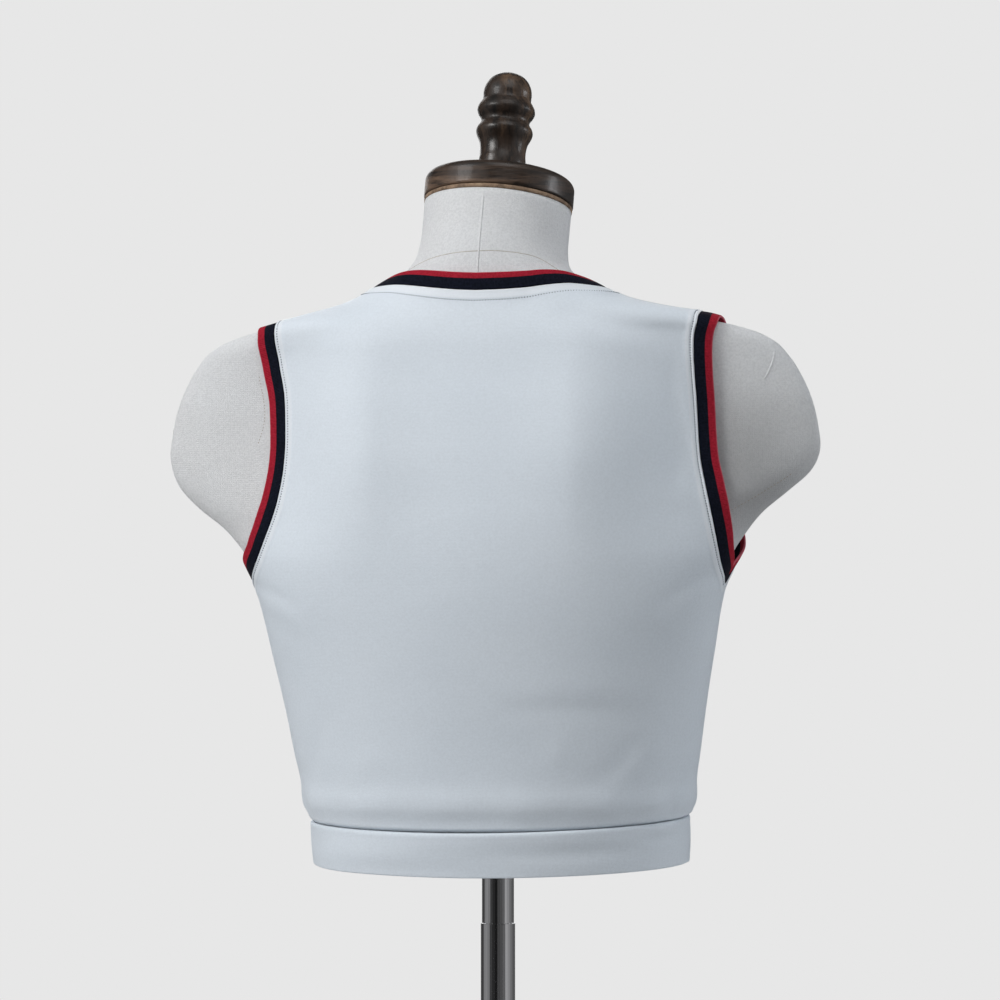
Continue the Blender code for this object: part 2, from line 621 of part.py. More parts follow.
def make_neck_cap(wood, tan):
    """The pale rim, the dark cap and the turned finial, along the neck's axis."""
    tilt, lean = math.radians(NECK_TILT), math.atan(NECK_DROP)
    axis = np.array(
        [math.cos(tilt) * math.sin(lean), -math.sin(tilt), math.cos(tilt) * math.cos(lean)]
    )
    rim_place = np.array([0.0, 0.0, BUST_TOP]) + axis * SEAM_GAP
    cap_place = rim_place + axis * (RIM_HEIGHT + SEAM_GAP)
    finial_place = cap_place + axis * (CAP_HEIGHT + SEAM_GAP)
    rim = [(0.0, RIM_RADIUS), (RIM_HEIGHT, RIM_RADIUS)]
    cap = [(0.0, CAP_RADIUS), *rounded_edge(CAP_RADIUS, CAP_HEIGHT, CAP_ROUND)]
    turned_object("neck_rim", rim, tan, rim_place, tilt, lean)
    turned_object("neck_cap", cap, wood, cap_place, tilt, lean)
    turned_object("finial", FINIAL_PROFILE, wood, finial_place, tilt, lean, FINIAL_SIDES)


def make_stand(chrome, steel):
    """The base plate, its socket, the two tubes of the pole and the flange under the bust."""
    flange_top = BUST_BOTTOM - UNDERSIDE_DROP - SEAM_GAP
    socket_top = BASE_HEIGHT + SEAM_GAP + SOCKET_HEIGHT
    base = [(0.0, BASE_RADIUS), *rounded_edge(BASE_RADIUS, BASE_HEIGHT, BASE_ROUND)]
    socket = [(0.0, SOCKET_RADIUS), *rounded_edge(SOCKET_RADIUS, SOCKET_HEIGHT, SOCKET_ROUND)]
    flange = [(0.0, FLANGE_RADIUS), (FLANGE_HEIGHT, FLANGE_RADIUS)]
    turned_object("base_plate", base, steel, sides=BASE_SIDES)
    turned_object("base_socket", socket, chrome, (0.0, 0.0, BASE_HEIGHT + SEAM_GAP))
    sleeve = [(0.0, SLEEVE_RADIUS), (SLEEVE_TOP - socket_top - SEAM_GAP, SLEEVE_RADIUS)]
    turned_object("pole_sleeve", sleeve, chrome, (0.0, 0.0, socket_top + SEAM_GAP))
    flange_place = flange_top - FLANGE_HEIGHT
    pole = [(0.0, POLE_RADIUS), (flange_place - 2 * SEAM_GAP - SLEEVE_TOP, POLE_RADIUS)]
    turned_object("pole", pole, chrome, (0.0, 0.0, SLEEVE_TOP + SEAM_GAP))
    turned_object("pole_flange", flange, steel, (0.0, 0.0, flange_place))


def main():
    for left_over in list(bpy.data.objects):
        bpy.data.objects.remove(left_over, do_unlink=True)
    cloth = paint("white double knit", (0.66, 0.70, 0.74), 0.62)
    rib = paint("navy rib", (0.011, 0.013, 0.022), 0.85)
    canvas = paint("form canvas", (0.62, 0.64, 0.65), 0.9)
    wood = paint("dark walnut", (0.045, 0.028, 0.018), 0.38)
    tan = paint("pale wood rim", (0.28, 0.19, 0.12), 0.7)
    chrome = paint("chromed steel", (0.6, 0.6, 0.62), 0.12, 1.0)
    steel = paint("satin steel", (0.45, 0.45, 0.47), 0.35, 1.0)
    make_bust(canvas)
    back, front = make_panels(cloth)
    make_neck_band(back, front, rib)
    make_armhole_band("armhole_band_left", back, front, 0, 1, rib)
    make_armhole_band("armhole_band_right", back, front, -1, -1, rib)
    make_hem_band("hem_band_back", 1, cloth)
    make_hem_band("hem_band_front", -1, cloth)
    make_neck_cap(wood, tan)
    make_stand(chrome, steel)


main()
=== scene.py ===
import math

import bpy
import numpy as np
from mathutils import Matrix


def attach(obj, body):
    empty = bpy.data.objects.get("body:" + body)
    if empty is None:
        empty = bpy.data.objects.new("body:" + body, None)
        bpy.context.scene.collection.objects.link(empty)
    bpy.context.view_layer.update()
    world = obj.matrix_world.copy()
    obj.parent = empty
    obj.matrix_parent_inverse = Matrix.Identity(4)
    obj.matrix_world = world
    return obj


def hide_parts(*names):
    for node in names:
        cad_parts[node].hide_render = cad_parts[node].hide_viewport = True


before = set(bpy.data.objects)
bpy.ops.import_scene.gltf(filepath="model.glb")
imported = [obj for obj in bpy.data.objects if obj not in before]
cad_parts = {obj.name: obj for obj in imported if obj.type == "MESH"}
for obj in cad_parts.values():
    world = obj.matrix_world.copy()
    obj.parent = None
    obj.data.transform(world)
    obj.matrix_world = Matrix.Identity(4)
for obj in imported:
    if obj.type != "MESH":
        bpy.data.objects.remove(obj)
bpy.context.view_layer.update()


mm = 0.001  # metres in a millimetre; the shapes below are worked out in millimetres

# the bust that everything follows, in millimetres and degrees
bust = {
    "bottom": 262.0, "top": 703.0, "neckTilt": 12.5, "neckDrop": -0.042,
    "backFlat": 64.0, "backFall": 98.0, "chestFlat": 42.0, "chestFall": 108.0,
    "bladeAcross": 76.0, "bladeLevel": 545.0, "bladeRise": 2.4, "bladeWide": 34.0, "bladeTall": 62.0,
    "moundAcross": 74.0, "moundLevel": 455.0, "moundRise": 15.0, "moundWide": 50.0, "moundTall": 52.0,
    # level, widest line, half width, back, its share, front, its share, tilt, drop to the left
    "rings": (
        (238.0, -12.0, 122.0, 70.0, 1.00, -88.0, 1.00, 0.0, 0.012),
        (262.0, -8.0, 124.0, 73.0, 1.00, -91.0, 1.00, 0.0, 0.012),
        (285.0, -4.0, 127.0, 76.5, 1.00, -94.0, 1.00, 0.0, 0.012),
        (306.0, 0.0, 130.4, 80.5, 1.00, -97.5, 1.00, 0.0, 0.012),
        (327.0, 5.0, 135.3, 85.0, 1.00, -101.5, 1.00, 0.0, 0.012),
        (362.0, 13.0, 142.0, 92.5, 1.00, -107.5, 1.00, 0.0, 0.012),
        (397.0, 23.0, 149.3, 99.5, 1.00, -112.0, 1.00, 0.0, 0.012),
        (431.0, 33.0, 155.8, 104.0, 1.00, -113.0, 1.00, 0.0, 0.012),
        (447.0, 36.0, 160.5, 105.0, 0.95, -112.0, 0.95, 0.0, 0.012),
        (460.0, 36.0, 167.5, 105.5, 0.88, -110.5, 0.88, 0.0, 0.014),
        (473.0, 33.0, 176.5, 105.5, 0.80, -108.0, 0.78, 0.0, 0.020),
        (487.0, 30.0, 189.0, 105.0, 0.71, -105.0, 0.67, 0.0, 0.027),
        (500.0, 28.0, 205.5, 104.0, 0.64, -101.0, 0.57, 0.0, 0.028),
        (514.0, 26.0, 220.5, 103.0, 0.58, -96.5, 0.51, 0.0, 0.022),
        (529.0, 25.0, 227.3, 101.5, 0.55, -90.5, 0.48, 0.0, 0.014),
        (549.0, 25.0, 226.3, 98.5, 0.54, -81.0, 0.48, 0.0, 0.012),
        (569.0, 26.0, 221.3, 95.0, 0.55, -70.0, 0.51, 0.0, 0.012),
        (583.0, 27.0, 215.0, 92.0, 0.57, -61.0, 0.55, 0.0, 0.012),
        (597.0, 29.0, 206.0, 89.0, 0.61, -52.0, 0.61, 0.5, 0.012),
        (606.0, 31.0, 197.0, 87.0, 0.66, -46.0, 0.68, 1.2, 0.012),
        (614.0, 33.0, 180.0, 84.5, 0.76, -40.5, 0.78, 2.0, 0.012),
        (618.5, 34.5, 163.0, 83.0, 0.90, -37.5, 0.90, 2.6, 0.012),
        (621.5, 35.5, 148.0, 82.0, 1.00, -35.5, 1.00, 3.2, 0.012),
        (625.5, 37.0, 126.0, 80.5, 1.00, -33.0, 1.00, 4.0, 0.011),
        (630.5, 38.0, 104.0, 79.0, 1.00, -30.5, 1.00, 5.2, 0.011),
        (636.0, 38.0, 89.0, 77.5, 1.00, -28.5, 1.00, 6.5, 0.009),
        (643.0, 36.0, 76.5, 75.5, 1.00, -27.0, 1.00, 8.0, 0.006),
        (648.0, 33.0, 68.6, 74.0, 1.00, -27.0, 1.00, 9.0, 0.003),
        (654.0, 28.0, 60.4, 72.0, 1.00, -28.0, 1.00, 10.2, -0.002),
        (661.0, 22.0, 54.4, 69.5, 1.00, -30.5, 1.00, 11.5, -0.010),
        (672.0, 15.0, 51.4, 65.0, 1.00, -36.0, 1.00, 12.3, -0.024),
        (688.0, 7.0, 50.8, 57.5, 1.00, -43.5, 1.00, 12.5, -0.036),
        (703.0, 0.0, 51.0, 51.0, 1.00, -51.0, 1.00, 12.5, -0.042),
    ),
}
ringColumns = np.array(bust["rings"]).T


# a cubic through the table's points, each with the slope between its neighbours
def smoothCurve(places, values, wanted):
    places, values = np.asarray(places, float), np.asarray(values, float)
    slopes = np.gradient(values, places)
    before = np.clip(np.searchsorted(places, wanted) - 1, 0, len(places) - 2)
    step = places[before + 1] - places[before]
    part = np.clip((wanted - places[before]) / step, 0.0, 1.0)
    rise = part * part * (3 - 2 * part)
    leaving = part * (1 - part) ** 2 * step * slopes[before]
    arriving = part**2 * (1 - part) * step * slopes[before + 1]
    return values[before] * (1 - rise) + values[before + 1] * rise + leaving - arriving


def tableValue(table, wanted):
    places, values = zip(*table)
    return smoothCurve(places, values, wanted)


def bell(away, halfWidth):
    return np.exp(-((away / halfWidth) ** 2))


def softStep(low, high, wanted):
    part = np.clip((wanted - low) / (high - low), 0.0, 1.0)
    return part * part * (3 - 2 * part)


def halfWidthAt(level):
    return smoothCurve(ringColumns[0], ringColumns[2], level)


# point = half width times cosine across; depth = a mix of the sine and a flat with sloped sides
def bustPoint(turn, level):
    turn, level = np.broadcast_arrays(np.asarray(turn, float), np.asarray(level, float))
    centre, half, back, backShare, front, frontShare, tilt, drop = (
        smoothCurve(ringColumns[0], column, level) for column in ringColumns[1:]
    )
    across = half * np.cos(np.radians(turn))
    sine = np.sin(np.radians(turn))
    behind = sine >= 0
    depth = np.where(behind, back, front) - centre
    share = np.where(behind, backShare, frontShare)
    flat = np.where(behind, bust["backFlat"], bust["chestFlat"])
    fall = np.where(behind, bust["backFall"], bust["chestFall"])
    sloped = 0.5 + 0.5 * np.cos(np.pi * np.clip((np.abs(across) - flat) / fall, 0.0, 1.0))
    along = depth * (share * np.abs(sine) + (1 - share) * sloped)
    blade = bust["bladeRise"] * bell(np.abs(across) - bust["bladeAcross"], bust["bladeWide"])
    blade = blade * bell(level - bust["bladeLevel"], bust["bladeTall"])
    mound = bust["moundRise"] * bell(np.abs(across) - bust["moundAcross"], bust["moundWide"])
    mound = mound * bell(level - bust["moundLevel"], bust["moundTall"])
    along = along + np.where(behind, blade, -mound) * np.abs(sine)
    lean = np.radians(tilt)
    return np.stack(
        [across, centre + along * np.cos(lean), level + along * np.sin(lean) - drop * across], axis=-1
    )


def bustSlopes(turn, level, step=0.4):
    byTurn = bustPoint(turn + step, level) - bustPoint(turn - step, level)
    byLevel = bustPoint(turn, level + step) - bustPoint(turn, level - step)
    return byTurn / (2 * step), byLevel / (2 * step)


def unit(vectors):
    return vectors / np.linalg.norm(vectors, axis=-1, keepdims=True)


# straight out from the bust by a distance
def offBust(turn, level, distance):
    turn, level = np.broadcast_arrays(np.asarray(turn, float), np.asarray(level, float))
    outward = unit(np.cross(*bustSlopes(turn, level)))
    return bustPoint(turn, level) + outward * np.asarray(distance)[..., None]


# how the cloth lies on the bust
cloth = {
    "wall": 1.5, "creasePoints": 41, "creaseFade": 0.8, "gatherLevel": 291.0, "gatherReach": 11.0,
    # two slow waves that die away at the shoulder: lengths, where they start, height
    "waveTop": (620.0, 600.0),
    "ripple": {"across": 17.0, "sway": 1.3, "swayUp": 41.0, "up": 29.0, "start": 0.7, "height": 0.16},
    "drift": {"across": 33.0, "up": 47.0, "start": 2.1, "height": 0.22},
    # the outer face above the bust: level, distance
    "standOff": (
        (270.0, 6.4), (277.0, 6.5), (281.0, 6.8), (286.0, 8.2), (291.5, 10.0), (298.0, 10.0),
        (306.0, 8.6), (327.0, 6.9), (362.0, 5.8), (397.0, 5.0), (431.0, 5.0), (445.0, 5.0),
        (500.0, 4.3), (560.0, 4.1), (590.0, 4.1), (618.0, 4.6), (632.0, 4.5), (660.0, 3.6),
    ),
    # each crease runs through three places, given as turn and level: half width, height
    "folds": (
        ((116.0, 626.0), (128.0, 613.5), (151.0, 607.0), 11.0, -2.3),
        ((112.0, 632.0), (131.0, 625.0), (156.0, 618.0), 8.0, 1.5),
        ((56.0, 622.0), (46.0, 614.0), (30.0, 612.0), 9.0, 0.7),
        ((60.0, 606.0), (48.0, 602.0), (36.0, 600.0), 10.0, -0.7),
        ((80.0, 616.0), (77.0, 560.0), (79.0, 480.0), 30.0, -0.7),
        ((101.0, 600.0), (101.0, 540.0), (104.0, 470.0), 24.0, 0.5),
        ((131.5, 597.0), (128.5, 552.0), (133.0, 496.0), 3.8, 0.85),
        ((128.0, 592.0), (125.0, 552.0), (129.0, 500.0), 5.5, -0.45),
        ((50.0, 580.0), (53.0, 545.0), (49.0, 500.0), 3.6, 0.4),
        ((8.0, 446.0), (24.0, 440.0), (40.0, 428.0), 5.0, -0.65),
        ((10.0, 438.0), (26.0, 430.0), (44.0, 414.0), 6.5, 0.5),
        ((12.0, 428.0), (26.0, 418.0), (40.0, 398.0), 7.0, -0.35),
        ((164.0, 452.0), (152.0, 440.0), (140.0, 424.0), 5.0, -0.7),
        ((168.0, 444.0), (156.0, 430.0), (146.0, 410.0), 6.5, 0.8),
        ((96.0, 358.0), (120.0, 359.0), (148.0, 352.0), 7.0, -0.6),
        ((92.0, 370.0), (120.0, 373.0), (154.0, 368.0), 12.0, 0.6),
        ((124.0, 304.0), (133.0, 322.0), (143.0, 345.0), 8.0, -0.8),
        ((132.0, 303.0), (141.0, 321.0), (151.0, 342.0), 8.0, 0.7),
        ((108.0, 316.0), (114.0, 330.0), (116.0, 348.0), 10.0, 0.5),
        ((48.0, 306.0), (54.0, 320.0), (66.0, 334.0), 9.0, 0.6),
        ((22.0, 306.0), (34.0, 330.0), (46.0, 366.0), 8.0, -0.9),
        ((12.0, 318.0), (20.0, 340.0), (30.0, 372.0), 8.0, 0.7),
        ((155.0, 300.0), (150.0, 294.0), (143.0, 291.0), 4.0, 0.7),
        ((166.0, 312.0), (161.0, 296.0), (160.0, 286.0), 3.2, -1.2),
        ((12.0, 306.0), (16.0, 294.0), (22.0, 287.0), 3.6, -0.8),
        # the front, which the photo hides
        ((-14.0, 446.0), (-26.0, 438.0), (-44.0, 424.0), 5.5, -0.9),
        ((-164.0, 448.0), (-150.0, 436.0), (-138.0, 418.0), 5.5, -0.9),
        ((-60.0, 380.0), (-82.0, 372.0), (-112.0, 378.0), 9.0, 0.5),
        ((-70.0, 330.0), (-96.0, 334.0), (-126.0, 326.0), 7.0, -0.6),
        ((-40.0, 300.0), (-48.0, 322.0), (-52.0, 350.0), 8.0, 0.6),
        ((-132.0, 302.0), (-128.0, 322.0), (-120.0, 344.0), 8.0, -0.6),
        ((-62.0, 560.0), (-70.0, 520.0), (-74.0, 470.0), 14.0, -0.6),
        ((-118.0, 560.0), (-110.0, 520.0), (-106.0, 470.0), 14.0, -0.6),
    ),
    # the cloth sinks below the left blade and at the left shoulder tip, stands fuller over the right
    # blade, and the right armhole gapes at its front foot: turn, level, half width, height
    "bulges": (
        (58.0, 500.0, 34.0, -0.9), (3.0, 621.5, 16.0, -2.6), (135.0, 590.0, 28.0, 1.8),
        (122.0, 542.0, 42.0, 3.0), (-157.0, 474.0, 24.0, 5.5),
    ),
    # gathers above the hem seam: turn, half width, height
    "gathers": (
        (18.0, 3.6, -0.55), (27.0, 3.2, 0.5), (41.0, 4.2, -0.5), (52.0, 3.2, 0.42), (67.0, 4.6, -0.4),
        (81.0, 3.4, 0.4), (94.0, 4.0, -0.42), (104.0, 3.0, 0.36), (117.0, 4.4, -0.5), (128.0, 3.2, 0.5),
        (139.0, 3.8, -0.55), (149.0, 3.0, 0.6), (158.0, 3.2, -0.7), (-24.0, 3.6, -0.5), (-38.0, 3.2, 0.5),
        (-55.0, 4.2, -0.45), (-71.0, 3.6, 0.4), (-90.0, 4.2, -0.4), (-108.0, 3.4, 0.45), (-123.0, 4.0, -0.5),
        (-141.0, 3.4, 0.5), (-155.0, 3.6, -0.55),
    ),
}


# distance from each point to a polyline, and how far along it the nearest corner lies
def nearest(points, line, chunk=9000):
    flat = points.reshape(-1, 3)
    best = np.empty(len(flat), int)
    for start in range(0, len(flat), chunk):
        block = flat[start:start + chunk]
        best[start:start + chunk] = ((block[:, None] - line[None]) ** 2).sum(axis=-1).argmin(axis=1)
    away = flat - line[best]
    far = np.linalg.norm(away, axis=-1)
    for step in (-1, 1):
        way = line[np.clip(best + step, 0, len(line) - 1)] - line[best]
        share = np.clip((away * way).sum(axis=-1) / np.maximum((way * way).sum(axis=-1), 1e-9), 0.0, 1.0)
        far = np.minimum(far, np.linalg.norm(away - share[:, None] * way, axis=-1))
    along = best / max(len(line) - 1, 1)
    return far.reshape(points.shape[:-1]), along.reshape(points.shape[:-1])


# the sum of the broad bulges, each a bell round its place on the bust
def bulgeHeight(turn, level):
    here = bustPoint(turn, level)
    total = np.zeros(here.shape[:-1])
    for bulgeTurn, bulgeLevel, halfWidth, height in cloth["bulges"]:
        away = here - bustPoint(np.array(bulgeTurn), np.array(bulgeLevel))
        total = total + height * bell(np.linalg.norm(away, axis=-1), halfWidth)
    return total


# height = each crease's bell across its line, fading to its ends, plus gathers, bulges and slow waves
def clothHeight(turn, level):
    turn, level = np.broadcast_arrays(np.asarray(turn, float), np.asarray(level, float))
    here = bustPoint(turn, level)
    total = tableValue(cloth["standOff"], level)
    share = np.linspace(0.0, 1.0, cloth["creasePoints"])
    for start, middle, end, halfWidth, height in cloth["folds"]:
        route = [
            start[i] * (1 - share) * (1 - 2 * share) + 4 * middle[i] * share * (1 - share)
            + end[i] * share * (2 * share - 1)
            for i in range(2)
        ]
        far, place = nearest(here, bustPoint(*route))
        fade = np.sin(np.pi * np.clip(place, 0.0, 1.0)) ** cloth["creaseFade"]
        total = total + height * fade * bell(far, halfWidth)
    turned = (turn + 180.0) % 360.0 - 180.0
    near = bell(level - cloth["gatherLevel"], cloth["gatherReach"])
    for middle, halfWidth, height in cloth["gathers"]:
        total = total + height * near * bell(turned - middle, halfWidth)
    total = total + bulgeHeight(turn, level)
    x, y, z = here[..., 0], here[..., 1], here[..., 2]
    ripple, drift = cloth["ripple"], cloth["drift"]
    wave = np.sin(x / ripple["across"] + ripple["sway"] * np.sin(z / ripple["swayUp"]))
    wave = wave * np.sin(z / ripple["up"] + ripple["start"]) * ripple["height"]
    slow = np.sin((x + y) / drift["across"] + z / drift["up"] + drift["start"]) * drift["height"]
    return total + (wave + slow) * softStep(*cloth["waveTop"], level)


# the cut edges
edges = {
    # ends on the side line, as levels: underarm, shoulder tip, neck point
    "leftEnds": (442.5, 622.3, 641.0), "rightEnds": (441.5, 621.3, 638.9),
    # each seam between its ends: level, distance across
    "backLeftArmhole": (
        (446.5, 159.7), (453.0, 158.6), (464.0, 152.6), (474.5, 148.5), (484.5, 144.8), (501.0, 139.2),
        (516.5, 135.6), (530.0, 133.7), (546.0, 133.2), (571.5, 134.5), (591.5, 138.8), (608.0, 142.3),
        (617.0, 143.2), (621.2, 143.8),
    ),
    "backRightArmhole": (
        (445.0, 159.4), (449.5, 160.2), (458.5, 159.8), (473.0, 158.4), (487.5, 156.0), (511.5, 151.6),
        (524.0, 149.5), (541.5, 148.0), (565.0, 146.6), (580.5, 145.4), (596.0, 144.8), (608.5, 145.6),
        (616.5, 147.3), (620.3, 148.6),
    ),
    "frontLeftArmhole": (
        (445.5, 158.6), (451.0, 158.0), (460.0, 154.8), (474.0, 149.0), (490.0, 143.2), (510.0, 138.0),
        (535.0, 134.6), (560.0, 134.0), (585.0, 136.6), (604.0, 140.6), (616.0, 142.9), (621.0, 143.9),
    ),
    "frontRightArmhole": (
        (445.0, 159.0), (450.0, 159.4), (459.0, 157.6), (473.0, 153.2), (489.0, 147.4), (510.0, 141.6),
        (535.0, 137.6), (560.0, 136.6), (585.0, 139.4), (604.0, 143.6), (615.5, 146.6), (620.2, 148.5),
    ),
    "backLeftNeckline": (
        (641.3, 70.0), (641.5, 57.0), (640.2, 43.0), (638.6, 29.0), (637.2, 14.0), (636.5, 0.0),
    ),
    "backRightNeckline": (
        (639.7, 72.0), (640.5, 59.5), (639.3, 46.5), (637.7, 34.0), (636.8, 18.0), (636.5, 0.0),
    ),
    "frontNeckline": (
        (632.0, 77.5), (619.0, 72.0), (604.0, 64.5), (589.0, 53.5), (575.5, 38.5), (565.5, 19.5),
        (562.4, 7.0), (562.0, 0.0),
    ),
    # turn, the hem band's lower edge, its seam with the body
    "hem": (
        (-180.0, 249.5, 282.0), (-90.0, 250.0, 282.5), (0.0, 250.0, 280.0), (90.0, 244.0, 275.4),
        (180.0, 249.5, 282.0),
    ),
    "gap": 0.3,  # between neighbouring pieces
}


def runAlong(points):
    return np.concatenate([[0.0], np.cumsum(np.linalg.norm(np.diff(points, axis=0), axis=1))])


# where to cut a line of points at the given shares of its length
def cutPlaces(points, shares):
    run = runAlong(points)
    return np.interp(shares * run[-1], run, np.arange(len(points)))


# cuts a line of turns and levels on the bust at the given shares of its length
def cutLine(turn, level, shares):
    at = cutPlaces(bustPoint(turn, level), shares)
    index = np.arange(len(turn), dtype=float)
    return np.interp(at, index, turn), np.interp(at, index, level)


# a smooth line through places given as level and distance across
def throughAcross(rows, shares, fineCount=1500):
    levels, across = zip(*rows)
    corners = np.arange(len(rows), dtype=float)
    fine = corners[-1] * (0.5 - 0.5 * np.cos(np.linspace(0.0, np.pi, fineCount)))
    level = smoothCurve(corners, levels, fine)
    return cutLine(turnsAt(level, smoothCurve(corners, across, fine)), level, shares)


# a smooth line through places given as turn and level
def throughTurns(rows, count, fineCount=1500):
    corners = np.arange(len(rows), dtype=float)
    fine = np.linspace(0.0, corners[-1], fineCount)
    turn, level = (smoothCurve(corners, values, fine) for values in zip(*rows))
    return cutLine(turn, level, np.linspace(0.0, 1.0, count))


def turnsAt(levels, across):
    ratio = np.asarray(across, float) / halfWidthAt(np.asarray(levels, float))
    return np.degrees(np.arccos(np.clip(ratio, 0.0, 1.0)))


def hemLevels(turn):
    turns, lower, seams = zip(*edges["hem"])
    return smoothCurve(turns, lower, turn), smoothCurve(turns, seams, turn)


panelGridSize = {
    "side": 62, "armhole": 112, "shoulder": 28, "columns": 220,
    # close rows above the hem and below the neck, close columns beside the armhole: count, step
    "closeAtHem": (10, 0.5), "closeAtNeck": (14, 0.6), "closeAtSide": (14, 0.55), "rowLength": 190.0,
    "ridgePoints": 600,
}


# shares from 0 to 1: some short steps of a set length first, and even ones after them
def spacedShares(steps, close, length):
    count, step = close
    first = step / length * np.arange(count)
    return np.concatenate([first, np.linspace(count * step / length, 1.0, steps - count + 1)])


# half a panel: rows climb the side seam, the armhole and the shoulder, columns run to the middle;
# below the armhole the points are spread by turn, and above its middle by distance across
def panelHalf(armhole, neckline, mirrored, facing):
    size = panelGridSize
    underarm, tip, neckPoint = edges["rightEnds" if mirrored else "leftEnds"]
    ends = {level: float(halfWidthAt(np.array([level]))[0]) for level in (underarm, tip, neckPoint)}
    inward = spacedShares(size["columns"] // 2, size["closeAtSide"], size["rowLength"])
    neckTurn, neckLevel = throughAcross([(neckPoint, ends[neckPoint]), *edges[neckline]], inward)
    armRows = [(underarm, ends[underarm]), *edges[armhole], (tip, ends[tip])]
    armTurn, armLevel = throughAcross(armRows, np.linspace(0.0, 1.0, size["armhole"] + 1))
    hemSeam = hemLevels(np.zeros(1))[1][0] + 0.5 * edges["gap"]
    tall = armLevel[0] - hemSeam
    upSide = hemSeam + tall * spacedShares(size["side"], size["closeAtHem"], tall)[:-1]
    ridge = np.linspace(tip, neckPoint, size["ridgePoints"])
    ridgeLong = runAlong(bustPoint(np.zeros(len(ridge)), ridge))[-1]
    shares = 1.0 - spacedShares(size["shoulder"], size["closeAtNeck"], ridgeLong)[::-1]
    upShoulder = cutLine(np.zeros(len(ridge)), ridge, shares)[1][1:]
    sideLevel = np.concatenate([upSide, armLevel, upShoulder])
    sideTurn = np.concatenate([np.zeros(size["side"]), armTurn, np.zeros(size["shoulder"])])
    byTurn, _ = bustSlopes(np.zeros(len(sideLevel)), sideLevel)
    sideTurn = np.maximum(sideTurn, 0.5 * edges["gap"] / np.linalg.norm(byTurn, axis=-1))
    run = runAlong(bustPoint(sideTurn, sideLevel))
    up = run / run[-1]
    lowest, middle, highest = up[size["side"] + np.array([0, size["armhole"] // 2, size["armhole"]])]
    hemTurn = (180.0 - 90.0 * inward if mirrored else 90.0 * inward) * facing
    hemLevel = hemLevels(hemTurn)[1] + 0.5 * edges["gap"]
    sideUp = (sideLevel - sideLevel[0]) / (sideLevel[-1] - sideLevel[0])
    height = sideUp[:, None] + np.outer(up - sideUp, softStep(0.0, 1.0, inward))
    level = hemLevel + height * (neckLevel - hemLevel)
    spread = np.outer(sideTurn, 1 - inward) + 90.0 * inward
    widest = np.maximum.accumulate(sideTurn)
    narrowing = np.cos(np.radians(np.outer(widest, 1 - inward) + 90.0 * inward))
    narrowing = narrowing / np.cos(np.radians(widest))[:, None]
    across = (halfWidthAt(sideLevel) * np.cos(np.radians(sideTurn)))[:, None] * narrowing
    nearNeck = np.clip((up - highest) / (1 - highest), 0.0, 1.0)
    neckAcross = halfWidthAt(neckLevel) * np.cos(np.radians(neckTurn))
    across = across + np.outer(nearNeck, neckAcross - across[-1])
    share = softStep(lowest, middle, up)[:, None]
    turn = spread * (1 - share) + turnsAt(level, across) * share
    turn[:, 0] = sideTurn
    return (180.0 - turn if mirrored else turn) * facing, level


def panelGrid(facing):
    face = "back" if facing > 0 else "front"
    necklines = ("backLeftNeckline", "backRightNeckline") if facing > 0 else ("frontNeckline",) * 2
    leftTurn, leftLevel = panelHalf(face + "LeftArmhole", necklines[0], False, facing)
    rightTurn, rightLevel = panelHalf(face + "RightArmhole", necklines[1], True, facing)
    return (
        np.concatenate([leftTurn, rightTurn[:, -2::-1]], axis=1),
        np.concatenate([leftLevel, rightLevel[:, -2::-1]], axis=1),
    )


# quads of a grid that may close on itself either way
def gridQuads(rows, columns, wrapRows=False, wrapColumns=False):
    row = np.arange(rows if wrapRows else rows - 1)[:, None]
    column = np.arange(columns if wrapColumns else columns - 1)[None, :]
    nextRow, nextColumn = (row + 1) % rows, (column + 1) % columns
    corners = [row * columns + column, row * columns + nextColumn]
    corners += [nextRow * columns + nextColumn, nextRow * columns + column]
    return np.stack([np.broadcast_to(c, (row.size, column.size)) for c in corners], axis=-1).reshape(-1, 4)


# a smooth-shaded object from points in millimetres, with its map and its distance from the seams
def makeMesh(name, points, quads, material, uv=None, seamFar=None):
    mesh = bpy.data.meshes.new(name)
    mesh.from_pydata((np.asarray(points).reshape(-1, 3) * mm).tolist(), [], quads.tolist())
    if seamFar is not None:
        mesh.attributes.new("seamFar", "FLOAT", "POINT").data.foreach_set("value", seamFar.ravel())
    if uv is not None:
        corners = np.empty(len(mesh.loops), np.int64)
        mesh.loops.foreach_get("vertex_index", corners)
        layer = mesh.uv_layers.new(name="run")
        layer.data.foreach_set("uv", np.asarray(uv, float).reshape(-1, 2)[corners].ravel())
    mesh.polygons.foreach_set("use_smooth", np.ones(len(mesh.polygons), bool))
    mesh.materials.append(material)
    mesh.update()
    made = bpy.data.objects.new(name, mesh)
    bpy.context.scene.collection.objects.link(made)
    return made


# every piece rides on the one body and may take the place of solids
def settle(piece, slotName, *nodes):
    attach(piece, "root")
    if nodes:
        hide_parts(*nodes)
    return piece


# materials, worked out from each object's own coordinates, its map or its attribute
def newMaterial(name, **settings):
    material = bpy.data.materials.new(name)
    material.use_nodes = True
    shader = material.node_tree.nodes["Principled BSDF"]
    for socket, value in settings.items():
        shader.inputs[socket.replace("_", " ")].default_value = value
    return material, material.node_tree, shader


# puts a value into a socket, or links another socket to it
def feed(tree, socket, value):
    if isinstance(value, bpy.types.NodeSocket):
        tree.links.new(value, socket)
    else:
        socket.default_value = value


# a new node with its settings and inputs by name, an underscore standing for a space
def node(tree, kind, **settings):
    made = tree.nodes.new(kind)
    for name, value in settings.items():
        if name in made.bl_rna.properties:
            setattr(made, name, value)
        else:
            feed(tree, made.inputs[name.replace("_", " ")], value)
    return made


